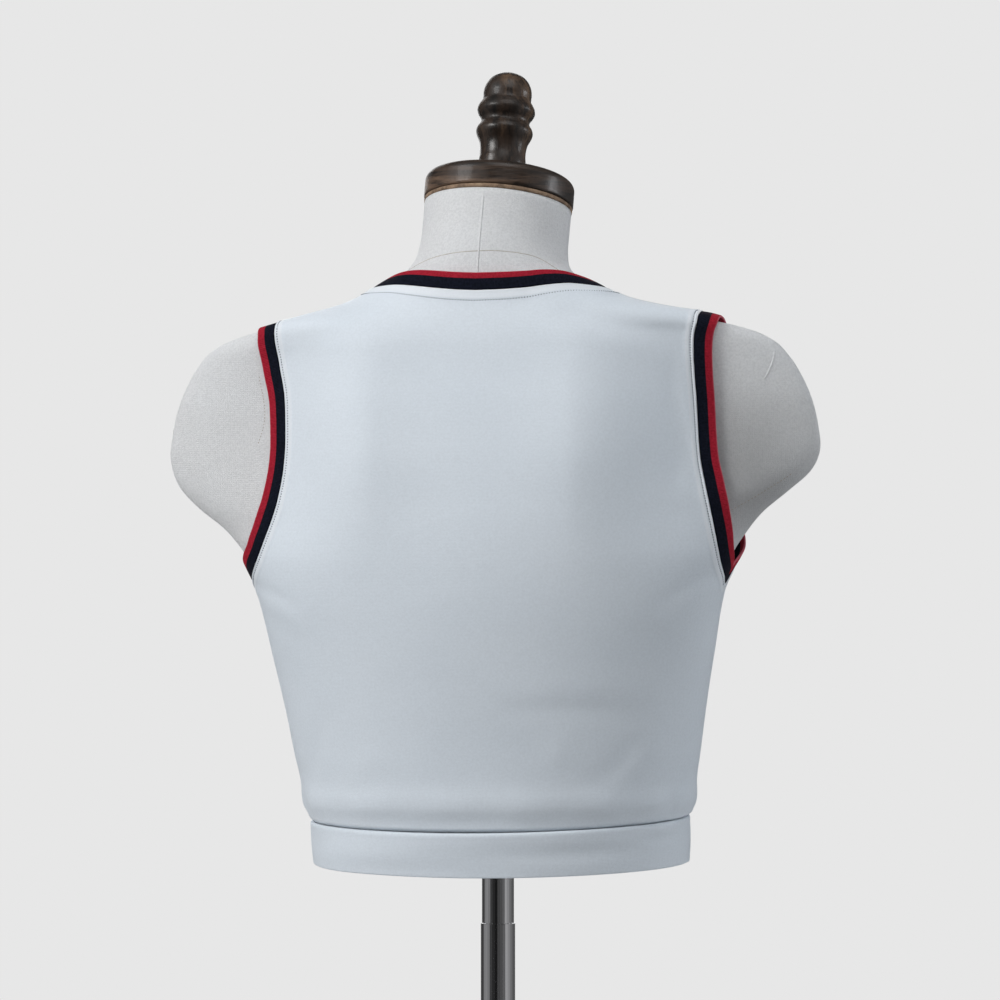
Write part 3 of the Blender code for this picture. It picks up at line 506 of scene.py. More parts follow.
def mathOf(tree, operation, *values, kind="ShaderNodeMath", result="Value"):
    made = node(tree, kind, operation=operation)
    for socket, value in zip(made.inputs, values):
        feed(tree, socket, value)
    return made.outputs[result]


def mapRange(tree, value, low, high, lowest=0.0, **settings):
    return node(
        tree, "ShaderNodeMapRange", Value=value, From_Min=low, From_Max=high, To_Min=lowest, **settings,
    ).outputs["Result"]


# the second colour laid on the first
def layOn(tree, first, second, share=1.0, blend="MIX"):
    return node(
        tree, "ShaderNodeMix", data_type="RGBA", blend_type=blend, Factor=share, A=first, B=second,
    ).outputs["Result"]


# a ramp read at a share: each stop is a position and a colour or a grey
def rampOf(tree, share, *stops):
    ramp = node(tree, "ShaderNodeValToRGB", Fac=share)
    elements = ramp.color_ramp.elements
    while len(elements) < len(stops):
        elements.new(0.5)
    for element, (position, colour) in zip(elements, stops):
        element.position = position
        element.color = (*colour, 1.0) if isinstance(colour, tuple) else (colour, colour, colour, 1.0)
    return ramp.outputs["Color"]


def objectSpot(tree):
    return node(tree, "ShaderNodeTexCoord").outputs["Object"]


def noiseAt(tree, spot, scale, detail, roughness=0.5, distortion=0.0):
    return node(
        tree, "ShaderNodeTexNoise", Vector=spot, Scale=scale, Detail=detail, Roughness=roughness,
        Distortion=distortion,
    ).outputs["Fac"]


# lines of thread set out along one of the object's axes, wandering a little
def threadsAt(tree, spot, axis, scale, wander, wanderDetail, wanderScale):
    return node(
        tree, "ShaderNodeTexWave", wave_type="BANDS", bands_direction=axis, Vector=spot, Scale=scale,
        Distortion=wander, Detail=wanderDetail, Detail_Scale=wanderScale,
    ).outputs["Fac"]


def addBump(tree, shader, height, strength, distance):
    bump = node(tree, "ShaderNodeBump", Height=height, Strength=strength, Distance=distance)
    tree.links.new(bump.outputs["Normal"], shader.inputs["Normal"])


# white double knit: faint wales and courses, slow tone, and painted light at the seams: a painted highlight
# along the seam edge and a paler painted strip over the allowance
def knitMaterial(name, tone):
    material, tree, shader = newMaterial(
        name, Roughness=0.55, Sheen_Weight=0.12, Sheen_Roughness=0.4, Specular_IOR_Level=0.3,
    )
    spot = objectSpot(tree)
    fine = noiseAt(tree, spot, 620.0, 2.0)
    wales = threadsAt(tree, spot, "X", 420.0, 1.2, 1.0, 60.0)
    courses = threadsAt(tree, spot, "Z", 330.0, 3.0, 1.0, 80.0)
    plain = rampOf(tree, noiseAt(tree, spot, 9.0, 3.0), (0.3, tone["low"]), (0.7, tone["high"]))
    mottle = rampOf(tree, fine, (0.30, 0.945), (0.70, 1.0))
    body = layOn(tree, plain, mottle, blend="MULTIPLY")
    seamFar = node(tree, "ShaderNodeAttribute", attribute_name="seamFar").outputs["Fac"]
    reach = mathOf(tree, "MULTIPLY", seamFar, 0.1)  # the strip's ramp spans ten millimetres
    # painted light: a painted highlight right at the seam, fading into a paler painted strip that is gone by
    # about seven millimetres
    seamLightShare = rampOf(tree, reach, (0.0, 0.95), (0.045, 0.85), (0.08, 0.36), (0.60, 0.30), (0.70, 0.0))
    feed(tree, shader.inputs["Base Color"], layOn(tree, body, (*tone["edge"], 1.0), seamLightShare))
    weave = mathOf(tree, "ADD", mathOf(tree, "ADD", wales, courses), fine)
    addBump(tree, shader, weave, 0.24, 0.0002)
    return material


# rib with a stripe along its folded edge and a painted pinkish highlight on the fold; v of the band's own map
# runs from the seam to the fold
def ribMaterial(name, tone):
    material, tree, shader = newMaterial(
        name, Roughness=0.9, Specular_IOR_Level=0.1, Sheen_Weight=0.03, Sheen_Roughness=0.35,
        Sheen_Tint=(1.0, 0.55, 0.6, 1.0),
    )
    run = node(tree, "ShaderNodeUVMap", uv_map="run").outputs["UV"]
    along, across, _ = node(tree, "ShaderNodeSeparateXYZ", Vector=run).outputs
    speck = noiseAt(tree, objectSpot(tree), 700.0, 2.0)
    navy = rampOf(tree, speck, (0.3, tone["navyLow"]), (0.75, tone["navyHigh"]))
    red = rampOf(tree, speck, (0.3, tone["redLow"]), (0.75, tone["redHigh"]))
    before, after = tone["stripeFrom"] - tone["stripeSoft"], tone["stripeFrom"] + tone["stripeSoft"]
    stripe = rampOf(tree, across, (0.0, 0.0), (before, 0.0), (after, 1.0), (1.0, 1.0))
    # painted highlight: a pale pinkish line over the last few hundredths of the width, at the fold
    foldEdge = rampOf(tree, across, (0.0, 0.0), (0.93, 0.0), (0.985, 1.0), (1.0, 1.0))
    striped = layOn(tree, navy, red, stripe)
    feed(tree, shader.inputs["Base Color"], layOn(tree, striped, (*tone["fold"], 1.0), foldEdge))
    ridges = mathOf(tree, "SINE", mathOf(tree, "MULTIPLY", along, 2 * math.pi / tone["ribPitch"]))
    addBump(tree, shader, mathOf(tree, "ADD", ridges, speck), 0.4, 0.0002)
    return material


# the form's canvas: over-and-under weave, flecks, a slow unevenness, and one place of painted shade
def canvasMaterial(name, tone):
    material, tree, shader = newMaterial(name, Roughness=0.92, Sheen_Weight=0.1, Sheen_Roughness=0.6)
    spot = objectSpot(tree)
    fleck = noiseAt(tree, spot, 650.0, 3.0, roughness=0.6)
    warp, weft = (threadsAt(tree, spot, axis, 230.0, 5.0, 2.0, 70.0) for axis in ("Z", "X"))
    plain = rampOf(tree, fleck, (0.32, tone["low"]), (0.62, tone["high"]))
    uneven = rampOf(tree, noiseAt(tree, spot, 14.0, 3.0), (0.35, (0.965, 0.96, 0.955)), (0.65, 1.0))
    # painted shade: the canvas is darkened round one place on the right stub and fades out with distance
    away = mathOf(tree, "DISTANCE", spot, tone["paintedShadeAt"], kind="ShaderNodeVectorMath")
    shade = mapRange(tree, away, *tone["paintedShadeReach"], tone["paintedShadeShare"], interpolation_type="SMOOTHSTEP")
    woven = layOn(tree, plain, uneven, blend="MULTIPLY")
    feed(tree, shader.inputs["Base Color"], layOn(tree, woven, shade, blend="MULTIPLY"))
    weave = mathOf(tree, "ADD", mathOf(tree, "MULTIPLY", warp, weft), fleck)
    addBump(tree, shader, weave, 0.6, 0.0004)
    return material


# dark stained wood: streaks stretched along the grain, pores, and rubbed places
def woodMaterial(name, tone):
    material, tree, shader = newMaterial(
        name, Specular_IOR_Level=0.32, Coat_Weight=0.14, Coat_Roughness=0.16,
    )
    spot = objectSpot(tree)
    grain = node(tree, "ShaderNodeMapping", Vector=spot, Scale=tone["grain"]).outputs["Vector"]
    streak = noiseAt(tree, grain, 46.0, 6.0, roughness=0.62, distortion=0.4)
    pores = noiseAt(tree, grain, 240.0, 3.0, roughness=0.7)
    rubbed = noiseAt(tree, spot, 38.0, 5.0, roughness=0.65)
    stain = rampOf(tree, streak, (0.32, tone["dark"]), (0.52, tone["middle"]), (0.72, tone["light"]))
    filled = rampOf(tree, pores, (0.38, (0.12, 0.10, 0.09)), (0.50, 1.0))
    feed(tree, shader.inputs["Base Color"], layOn(tree, stain, filled, 0.8, "MULTIPLY"))
    feed(tree, shader.inputs["Roughness"], rampOf(tree, rubbed, (0.35, 0.26), (0.62, 0.62)))
    addBump(tree, shader, pores, 0.5, 0.0005)
    return material


# the raw edge of the neck's board: pale wood with stains
def rawEdgeMaterial(name):
    material, tree, shader = newMaterial(name, Roughness=0.8)
    stains = noiseAt(tree, objectSpot(tree), 120.0, 5.0, roughness=0.7)
    bare = rampOf(
        tree, stains, (0.34, (0.10, 0.065, 0.042)), (0.5, (0.25, 0.165, 0.105)), (0.72, (0.40, 0.29, 0.19)),
    )
    feed(tree, shader.inputs["Base Color"], bare)
    addBump(tree, shader, stains, 0.3, 0.0003)
    return material


# metal with fine marks stretched one way, which vary its tone and its polish
def metalMaterial(name, colour, roughness, brushed):
    material, tree, shader = newMaterial(name, Metallic=1.0)
    stretched = node(tree, "ShaderNodeMapping", Vector=objectSpot(tree), Scale=brushed).outputs["Vector"]
    marks = noiseAt(tree, stretched, 180.0, 4.0)
    duller = tuple(part * 0.9 for part in colour)
    feed(tree, shader.inputs["Base Color"], rampOf(tree, marks, (0.3, duller), (0.7, colour)))
    low, high = roughness
    feed(tree, shader.inputs["Roughness"], rampOf(tree, marks, (0.3, low), (0.75, high)))
    return material


def threadMaterial(name, low, high, roughness):
    material, tree, shader = newMaterial(name, Roughness=roughness)
    speck = noiseAt(tree, objectSpot(tree), 500.0, 2.0)
    feed(tree, shader.inputs["Base Color"], rampOf(tree, speck, (0.3, low), (0.7, high)))
    return material


knit = knitMaterial("whiteDoubleKnit", {
    "low": (0.702, 0.768, 0.836), "high": (0.742, 0.806, 0.872), "edge": (0.88, 0.90, 0.93),
})
rib = ribMaterial("stripedRib", {
    "stripeFrom": 0.6, "stripeSoft": 0.012, "ribPitch": 0.0011,
    "navyLow": (0.002, 0.0035, 0.008), "navyHigh": (0.008, 0.010, 0.021),
    "redLow": (0.27, 0.010, 0.022), "redHigh": (0.41, 0.018, 0.038), "fold": (0.55, 0.12, 0.16),
})
canvas = canvasMaterial("formCanvas", {
    "low": (0.725, 0.742, 0.760), "high": (0.830, 0.847, 0.865),
    # painted shade: darker where the right stub leaves the armhole, to match the photo's shade there:
    # the place in metres, the reach from and to, and the share of the colour that is left
    "paintedShadeAt": (-0.168, 0.030, 0.520), "paintedShadeReach": (0.012, 0.085), "paintedShadeShare": 0.52,
})
walnut = woodMaterial("darkWalnutTurned", {
    "grain": (1.0, 1.0, 0.22), "dark": (0.005, 0.0035, 0.0025), "middle": (0.031, 0.019, 0.013),
    "light": (0.175, 0.108, 0.064),
})
walnutFlat = woodMaterial("darkWalnutCap", {
    "grain": (0.16, 0.16, 1.8), "dark": (0.011, 0.0075, 0.0055), "middle": (0.055, 0.034, 0.023),
    "light": (0.20, 0.126, 0.082),
})
rawEdge = rawEdgeMaterial("rawWoodEdge")
chrome = metalMaterial("chromedTube", (0.62, 0.62, 0.64), (0.06, 0.14), (1.0, 1.0, 0.05))
steel = metalMaterial("satinSteel", (0.42, 0.42, 0.44), (0.28, 0.42), (1.0, 0.08, 1.0))
# the seam stitches' thread is grey; it is painted darker still, standing in for the shade in the stitch line
seamThread = threadMaterial("greyThreadPaintedDarker", (0.07, 0.085, 0.12), (0.15, 0.17, 0.21), 0.7)
formThread = threadMaterial("tanThread", (0.30, 0.25, 0.20), (0.46, 0.40, 0.33), 0.8)
formSeam = threadMaterial("canvasSeam", (0.42, 0.39, 0.36), (0.60, 0.57, 0.53), 0.9)
print("materials ready")

# the form
formShape = {
    "rows": 150, "columns": 220, "fineLevels": 900, "undersideDrop": 3.5,
    # the rounded flat underside: share of the lowest ring, share of the drop
    "underside": ((0.02, 1.0), (0.5, 1.0), (0.965, 1.0), (0.99, 0.55)), "topShares": (0.5, 0.02),
}


# stacked level rings, closed by a rounded flat underside and a fan on the neck
def makeForm():
    levels = np.linspace(bust["bottom"], bust["top"], formShape["fineLevels"])
    side = np.stack([halfWidthAt(levels), levels], axis=-1)
    at = cutPlaces(side, np.linspace(0.0, 1.0, formShape["rows"]))
    levels = np.interp(at, np.arange(len(levels)), levels)[:, None]
    turn = np.linspace(0.0, 360.0, formShape["columns"], endpoint=False)[None, :]
    rings = bustPoint(turn, levels)
    middle = rings[0].mean(axis=0)
    under = [middle + (rings[0] - middle) * share for share, _ in formShape["underside"]]
    for ring, (_, drop) in zip(under, formShape["underside"]):
        ring[:, 2] = bust["bottom"] - drop * formShape["undersideDrop"]
    top = rings[-1].mean(axis=0)
    closing = [top + (rings[-1] - top) * share for share in formShape["topShares"]]
    stack = np.concatenate([np.array(under), rings, np.array(closing)])
    quads = gridQuads(*stack.shape[:2], wrapColumns=True)
    settle(makeMesh("form", stack, quads, canvas), "canvas", "form_torso")


makeForm()

cordShape = {"points": 120, "sides": 8, "sink": 0.35, "endShare": 0.15, "endFade": 8.0}
formSeams = {
    # turn and level pairs along each seam, the cord's radius, its material
    "formCentreBackSeam": (((90.0, 640.0), (90.0, 655.0), (90.0, 675.0), (90.0, 702.6)), 0.75, canvas),
    "formNeckBaseSeam": ((
        (10.0, 650.0), (45.0, 657.0), (69.5, 659.3), (89.5, 660.0), (104.5, 660.3), (126.5, 659.6),
        (137.5, 657.5), (146.5, 653.0), (152.0, 648.0), (165.0, 645.5),
    ), 0.36, formSeam),
    "formFrontSeam": (((-90.0, 575.0), (-90.0, 620.0), (-90.0, 660.0), (-90.0, 702.6)), 0.42, formSeam),
    "formNeckFrontSeam": ((
        (-15.0, 646.0), (-50.0, 628.0), (-90.0, 614.0), (-130.0, 628.0), (-165.0, 646.0),
    ), 0.36, formSeam),
    "formStubSeamRight": (((152.0, 579.0), (159.0, 590.0), (166.5, 600.0)), 0.7, canvas),
}


# a rounded cord along a line on the bust, partly sunk in it, thinner towards its ends
def makeSeamCord(name, route, radius, material):
    sides = cordShape["sides"]
    turn, level = throughTurns(route, cordShape["points"])
    centre = offBust(turn, level, np.full(len(turn), -cordShape["sink"] * radius))
    along = unit(np.gradient(centre, axis=0))
    outward = unit(offBust(turn, level, np.ones(len(turn))) - bustPoint(turn, level))
    sideways = np.cross(along, outward)
    angle = np.linspace(0.0, 2 * np.pi, sides, endpoint=False)
    ring = outward[:, None] * np.sin(angle)[None, :, None] + sideways[:, None] * np.cos(angle)[None, :, None]
    fromEnd = np.minimum(np.linspace(0, 1, len(turn)), np.linspace(1, 0, len(turn)))
    fade = np.minimum(1.0, cordShape["endShare"] + cordShape["endFade"] * fromEnd)
    tube = centre[:, None] + ring * (radius * fade)[:, None, None]
    quads = gridQuads(len(turn), sides, wrapColumns=True)[:, ::-1]
    settle(makeMesh(name, tube, quads, material), "canvas")


for seamName, seamSettings in formSeams.items():
    makeSeamCord(seamName, *seamSettings)
print("form and its seams ready")


# a stitch's share along its length and share of its full width there
stitchBar = ((-0.5, 0.15), (-0.36, 0.8), (0.0, 1.0), (0.36, 0.8), (0.5, 0.15))
formStitch = {"points": 80, "height": 0.05, "length": 0.7, "radius": 0.24}
# turn and level pairs along each mark on the form's stubs, and the stitches' pitch
formMarks = {
    "formStitchRight": ((
        (149.0, 482.0), (153.0, 487.0), (157.0, 495.0), (160.5, 505.0), (163.0, 513.0),
    ), 2.6),
    "formStitchLeft": (((42.0, 588.0), (45.5, 572.0), (47.0, 557.0), (46.0, 540.0)), 2.2),
}


# many short stitches in one mesh: each is a small rounded bar lying along the line
def makeStitches(name, centre, outward, pitch, length, radius, material, sides=6):
    run = runAlong(centre)
    at = np.arange(0.5 * pitch, run[-1], pitch)
    middle = np.stack([np.interp(at, run, centre[:, i]) for i in range(3)], axis=-1)
    along = unit(np.stack([np.interp(at, run, np.gradient(centre, axis=0)[:, i]) for i in range(3)], axis=-1))
    out = unit(np.stack([np.interp(at, run, outward[:, i]) for i in range(3)], axis=-1))
    sideways = np.cross(along, out)
    shares, widths = np.array(stitchBar).T
    dip = -np.abs(shares) ** 2 * 4 * radius
    angle = np.linspace(0.0, 2 * np.pi, sides, endpoint=False)
    ring = np.sin(angle)[:, None] * out[:, None, None] + np.cos(angle)[:, None] * sideways[:, None, None]
    spine = middle[:, None] + along[:, None] * (shares * length)[None, :, None]
    spine = spine + out[:, None] * dip[None, :, None]
    bars = spine[:, :, None] + ring * (radius * widths)[None, :, None, None]
    quads = gridQuads(len(shares), sides, wrapColumns=True)[:, ::-1]
    count = len(shares) * sides
    every = (quads[None] + np.arange(len(at))[:, None, None] * count).reshape(-1, 4)
    return makeMesh(name, bars, every, material)


def formStitches(name, route, pitch):
    turn, level = throughTurns(route, formStitch["points"])
    centre = offBust(turn, level, np.full(len(turn), formStitch["height"]))
    outward, length = centre - bustPoint(turn, level), formStitch["length"] * pitch
    settle(makeStitches(name, centre, outward, pitch, length, formStitch["radius"], formThread), "canvas")


for markName, markSettings in formMarks.items():
    formStitches(markName, *markSettings)
print("form's stitches ready")

# how the cloth is shaped beside its seams
sewnEdge = {
    "allowance": 6.6, "neckAllowance": 9.2, "allowanceRise": 0.42, "riseFrom": 0.8, "riseTo": 0.6,
    "tuck": 1.0, "tuckWide": 0.55, "roll": 0.28, "rollAt": 1.1, "rollWide": 0.7,
    "armholeStitch": 2.6, "neckStitch": 7.6, "stitchDent": 0.34, "stitchWide": 0.75,
    "joinDip": 0.75, "joinWide": 0.7, "joinFade": 3.0,
    "hemTuck": 1.3, "hemTuckWide": 1.5, "hemRoll": 0.2, "hemRollAt": 3.4, "hemRollWide": 1.8,
    "farAway": 99.0,  # past the reach of every seam
}


# from the seam inward: tucked edge, thin roll, dented stitch line, raised allowance, plain cloth
def edgeShape(far, stitch, allowance):
    shape = -sewnEdge["tuck"] * bell(far, sewnEdge["tuckWide"])
    shape = shape + sewnEdge["roll"] * bell(far - sewnEdge["rollAt"], sewnEdge["rollWide"])
    rise = softStep(allowance + sewnEdge["riseFrom"], allowance - sewnEdge["riseTo"], far)
    shape = shape + sewnEdge["allowanceRise"] * rise
    return shape - sewnEdge["stitchDent"] * bell(far - stitch, sewnEdge["stitchWide"])


# above the hem seam: tucked in at the seam, then a soft roll
def hemTuck(far):
    roll = sewnEdge["hemRoll"] * bell(far - sewnEdge["hemRollAt"], sewnEdge["hemRollWide"])
    return roll - sewnEdge["hemTuck"] * bell(far, sewnEdge["hemTuckWide"])


# height = the cloth's own, shaped along each seam by the distance to it
def makePanel(name, solid, facing, turn, level):
    size = panelGridSize
    height = clothHeight(turn, level)
    here = bustPoint(turn, level)
    low, high = size["side"], size["side"] + size["armhole"] + 1
    seamFar = np.full(turn.shape, sewnEdge["farAway"])
    for column in (0, -1):
        far, _ = nearest(here, here[low:high, column])
        seamFar = np.minimum(seamFar, far)
        height = height + edgeShape(far, sewnEdge["armholeStitch"], sewnEdge["allowance"])
        for rows in (slice(0, low + 1), slice(high - 1, None)):
            far, _ = nearest(here, here[rows, column])
            dip = sewnEdge["joinDip"] * bell(far, sewnEdge["joinWide"])
            height = height - dip * softStep(0.0, sewnEdge["joinFade"], seamFar)
    far, _ = nearest(here, here[-1])
    seamFar = np.minimum(seamFar, far)
    height = height + edgeShape(far, sewnEdge["neckStitch"], sewnEdge["neckAllowance"])
    far, _ = nearest(here, here[0])
    height = height + hemTuck(far)
    outer = offBust(turn, level, height)
    run = np.stack([turn / 360.0, level * mm], axis=-1)
    quads = gridQuads(*turn.shape)[:, ::facing]
    made = makeMesh(name, outer, quads, knit, uv=run, seamFar=seamFar)
    wall = made.modifiers.new("wall", "SOLIDIFY")
    wall.thickness, wall.offset = cloth["wall"] * mm, -1.0
    return settle(made, "knit", solid), outer


backGrid, frontGrid = panelGrid(1), panelGrid(-1)
backPanel, backOuter = makePanel("backPanel", "back_panel", 1, *backGrid)
frontPanel, frontOuter = makePanel("frontPanel", "front_panel", -1, *frontGrid)
print("panels ready")

# the rib bands
ribShape = {
    "wall": 1.6, "puff": 0.3, "puffPower": 0.7, "steps": 12, "around": 620, "flatPoints": 16, "bendPoints": 9,
    # how much nearer the form the folded edge lies, how that grows, the least clearance, and where
    # the map has the stripe begin, as in the rib's material
    "fall": 0.5, "fallPower": 1.4, "clear": 0.25, "mapStripe": 0.6,
    # each band's width, and the share of it at which the red begins
    "neck": (12.6, 0.64), "left": (14.8, 0.56), "right": (13.5, 0.585),
}


# the mean round a closed loop, weighted by a bell of the given width
def smoothLoop(values, points, width):
    steps = np.linalg.norm(np.roll(points, -1, axis=0) - points, axis=1)
    run = np.concatenate([[0.0], np.cumsum(steps)[:-1]])
    apart = np.abs(run[:, None] - run[None])
    apart = np.minimum(apart, steps.sum() - apart)
    weight = bell(apart, width) * steps[None]
    return (weight / weight.sum(axis=1, keepdims=True)) @ values


# walks from a closed seam line straight across the bust, a short step at a time
def marchAcross(turn, level, sign, distance, steps, width=5.0):
    turns, levels = [turn], [level]
    for _ in range(steps):
        byTurn, byLevel = bustSlopes(turn, level)
        points = bustPoint(turn, level)
        outward = unit(np.cross(byTurn, byLevel))
        run = unit(np.roll(points, -1, axis=0) - np.roll(points, 1, axis=0))
        inward = smoothLoop(sign * np.cross(outward, run), points, width)
        inward = unit(inward - outward * (inward * outward).sum(axis=-1, keepdims=True))
        moves = np.linalg.pinv(np.stack([byTurn, byLevel], axis=-1)) @ inward[..., None]
        turn = turn + distance / steps * moves[:, 0, 0]
        level = level + distance / steps * moves[:, 1, 0]
        turns.append(turn)
        levels.append(level)
    return np.array(turns), np.array(levels)


# the folded rib's section goes from the seam over the outer face, round the fold and back inside
def makeBand(name, solid, turn, level, sign, width, stripe):
    count, steps, wall = ribShape["around"], ribShape["steps"], ribShape["wall"]
    turn, level = np.append(turn, turn[0]), np.append(level, level[0])
    long = runAlong(bustPoint(turn, level))[-1]
    turn, level = (line[:-1] for line in cutLine(turn, level, np.linspace(0.0, 1.0, count + 1)))
    turns, levels = marchAcross(turn, level, sign, width, steps)
    radius = 0.5 * wall
    flat = np.linspace(edges["gap"], width - radius, ribShape["flatPoints"])
    bend = np.linspace(0.0, np.pi, ribShape["bendPoints"])[1:-1]
    across = np.concatenate([flat, width - radius + radius * np.sin(bend), flat[::-1]])
    puff = ribShape["puff"] * np.sin(np.pi * np.clip(flat / width, 0, 1)) ** ribShape["puffPower"]
    high = np.concatenate([puff, -radius + radius * np.cos(bend), np.full(len(flat), -wall)])
    step = across / width * steps
    before = np.clip(step.astype(int), 0, steps - 1)
    part = (step - before)[:, None]
    bandTurn = turns[before] * (1 - part) + turns[before + 1] * part
    bandLevel = levels[before] * (1 - part) + levels[before + 1] * part
    base = clothHeight(turn, level) - bulgeHeight(turn, level) + bulgeHeight(bandTurn, bandLevel)
    base = base - ribShape["fall"] * ((across / width) ** ribShape["fallPower"])[:, None]
    base = np.maximum(base, wall + ribShape["clear"])
    surface = offBust(bandTurn, bandLevel, base + high[:, None])
    shares = np.interp(across / width, (0.0, stripe, 1.0), (0.0, ribShape["mapStripe"], 1.0))
    run = np.linspace(0.0, long * mm, count, endpoint=False)
    uv = np.stack(np.broadcast_arrays(run[None, :], shares[:, None]), axis=-1)
    quads = gridQuads(len(across), count, wrapRows=True, wrapColumns=True)
    made = makeMesh(name, surface, quads[:, ::-sign], rib, uv=uv)
    return settle(made, "rib", solid)


# the neck seam as one closed line, from the left neck point round the back
def neckLoop():
    turn = np.concatenate([backGrid[0][-1], frontGrid[0][-1][-2:0:-1]])
    level = np.concatenate([backGrid[1][-1], frontGrid[1][-1][-2:0:-1]])
    turn[0], turn[panelGridSize["columns"]] = 0.0, 180.0
    return np.where(turn < 0, turn + 360.0, turn), level


# an armhole seam as one closed line, up the back and down the front
def armholeLoop(column, side):
    first, count = panelGridSize["side"], panelGridSize["armhole"]
    rows, back = slice(first, first + count + 1), slice(first + count - 1, first, -1)
    turn = np.concatenate([backGrid[0][rows, column], frontGrid[0][back, column]])
    level = np.concatenate([backGrid[1][rows, column], frontGrid[1][back, column]])
    if side < 0:
        turn = np.where(turn < 0, turn + 360.0, turn)
    turn[0] = turn[count] = 0.0 if side > 0 else 180.0
    return turn, level


leftLoop, rightLoop = armholeLoop(0, 1), armholeLoop(-1, -1)
neckBand = makeBand("neckBand", "neck_band", *neckLoop(), 1, *ribShape["neck"])
leftBand = makeBand("armholeBandLeft", "armhole_band_left", *leftLoop, 1, *ribShape["left"])
rightBand = makeBand("armholeBandRight", "armhole_band_right", *rightLoop, -1, *ribShape["right"])
print("rib bands ready")


seamStitch = {
    "steps": 6, "smooth": 3.0, "height": 0.1, "length": 0.58, "radius": 0.42,
    # distance from the seam, width of the allowance, pitch
    "neck": (sewnEdge["neckStitch"], sewnEdge["neckAllowance"], 1.9),
    "armhole": (sewnEdge["armholeStitch"], sewnEdge["allowance"], 1.8),
}


# stitches run along the panels at a set distance from the seam
def seamStitches(name, turn, level, sign, inset, allowance, pitch):
    turns, levels = marchAcross(turn, level, -sign, inset, seamStitch["steps"], seamStitch["smooth"])
    turn, level = turns[-1], levels[-1]
    height = clothHeight(turn, level) + edgeShape(np.full(len(turn), inset), inset, allowance)
    centre = offBust(turn, level, height + seamStitch["height"])
    outward, length = centre - bustPoint(turn, level), seamStitch["length"] * pitch
    settle(makeStitches(name, centre, outward, pitch, length, seamStitch["radius"], seamThread), "knit")


seamStitches("neckStitches", *neckLoop(), 1, *seamStitch["neck"])
seamStitches("armholeStitchesLeft", *leftLoop, 1, *seamStitch["armhole"])
seamStitches("armholeStitchesRight", *rightLoop, -1, *seamStitch["armhole"])
print("seam stitches ready")

# the hem band
hemShape = {
    "wall": 2.2, "columns": 360, "flatPoints": 24, "bendPoints": 9, "innerShare": 0.5,
    "tuck": 0.45, "tuckWide": 0.9, "roll": 0.25, "rollAt": 2.0, "rollWide": 1.4,
    # the outer face above the bust: level, distance
    "standOff": ((238.0, 9.4), (250.0, 9.4), (262.0, 9.2), (272.0, 8.2), (280.0, 6.8)),
    # soft hollows and ridges along the band: turn, share of its height from the fold up, half widths, height
    "folds": (
        (92.0, 1.0, 52.0, 0.40, 1.3), (92.0, 0.0, 56.0, 0.55, -3.0), (36.0, 0.0, 19.0, 0.5, 1.8),
        (-90.0, 1.0, 56.0, 0.40, 0.9),
        (122.0, 0.48, 26.0, 0.22, -1.3), (112.0, 0.24, 22.0, 0.20, 0.5), (95.0, 0.62, 14.0, 0.22, -0.3),
        (52.0, 0.42, 24.0, 0.30, 1.1), (24.0, 0.6, 12.0, 0.25, -0.3), (154.0, 0.86, 9.0, 0.12, 0.75),
        (156.0, 0.66, 9.0, 0.12, -0.55), (-40.0, 0.5, 18.0, 0.25, -0.35), (-90.0, 0.4, 20.0, 0.3, 0.3),
        (-140.0, 0.55, 16.0, 0.25, -0.35),
    ),
}


# the doubled band's section: down the outer face, round the fold, and up inside
def makeHemBand(name, solid, facing):
    ends = math.degrees(0.5 * edges["gap"] / halfWidthAt(np.array([bust["bottom"]]))[0])
    turn = np.linspace(ends, 180.0 - ends, hemShape["columns"]) * facing
    lower, seam = hemLevels(turn)
    wall = hemShape["wall"]
    radius = 0.5 * wall
    seam = seam - 0.5 * edges["gap"]
    share = np.linspace(1.0, 0.0, hemShape["flatPoints"])[:, None]
    outerLevel = lower + radius + (seam - lower - radius) * share
    bend = np.linspace(0.0, np.pi, hemShape["bendPoints"])[1:-1][:, None]
    bendLevel = lower + radius - radius * np.sin(bend)
    level = np.concatenate([outerLevel, bendLevel, outerLevel[::-1]])
    turns = np.broadcast_to(turn, level.shape)
    stand = tableValue(hemShape["standOff"], level)
    shape = np.zeros_like(outerLevel)
    for middle, at, wide, tall, height in hemShape["folds"]:
        shape = shape + height * np.exp(-(((turn - middle) / wide) ** 2) - ((share - at) / tall) ** 2)
    far = seam - outerLevel
    shape = shape - hemShape["tuck"] * bell(far, hemShape["tuckWide"])
    shape = shape + hemShape["roll"] * bell(far - hemShape["rollAt"], hemShape["rollWide"])
    high = np.concatenate([
        shape, -radius + radius * np.cos(bend) + shape[-1], shape[::-1] * hemShape["innerShare"] - wall,
    ])
    surface = offBust(turns, level, stand + high)
    rows, columns = level.shape
    quads = gridQuads(rows, columns, wrapRows=True)
    number = np.arange(rows * columns).reshape(rows, columns)
    half = rows // 2
    for column, flip in ((0, False), (-1, True)):
        down, up = number[:half, column], number[::-1, column][:half]
        cap = np.stack([down[:-1], down[1:], up[1:], up[:-1]], axis=-1)
        quads = np.concatenate([quads, cap[:, ::-1] if flip else cap])
    run = np.stack(np.broadcast_arrays(turns / 360.0, level * mm), axis=-1)
    farFromSeam = np.full(level.shape, sewnEdge["farAway"])
    made = makeMesh(name, surface, quads[:, ::-facing], knit, uv=run, seamFar=farFromSeam)
    return settle(made, "knit", solid)


hemBack = makeHemBand("hemBandBack", "hem_band_back", 1)
hemFront = makeHemBand("hemBandFront", "hem_band_front", -1)
print("hem band ready")

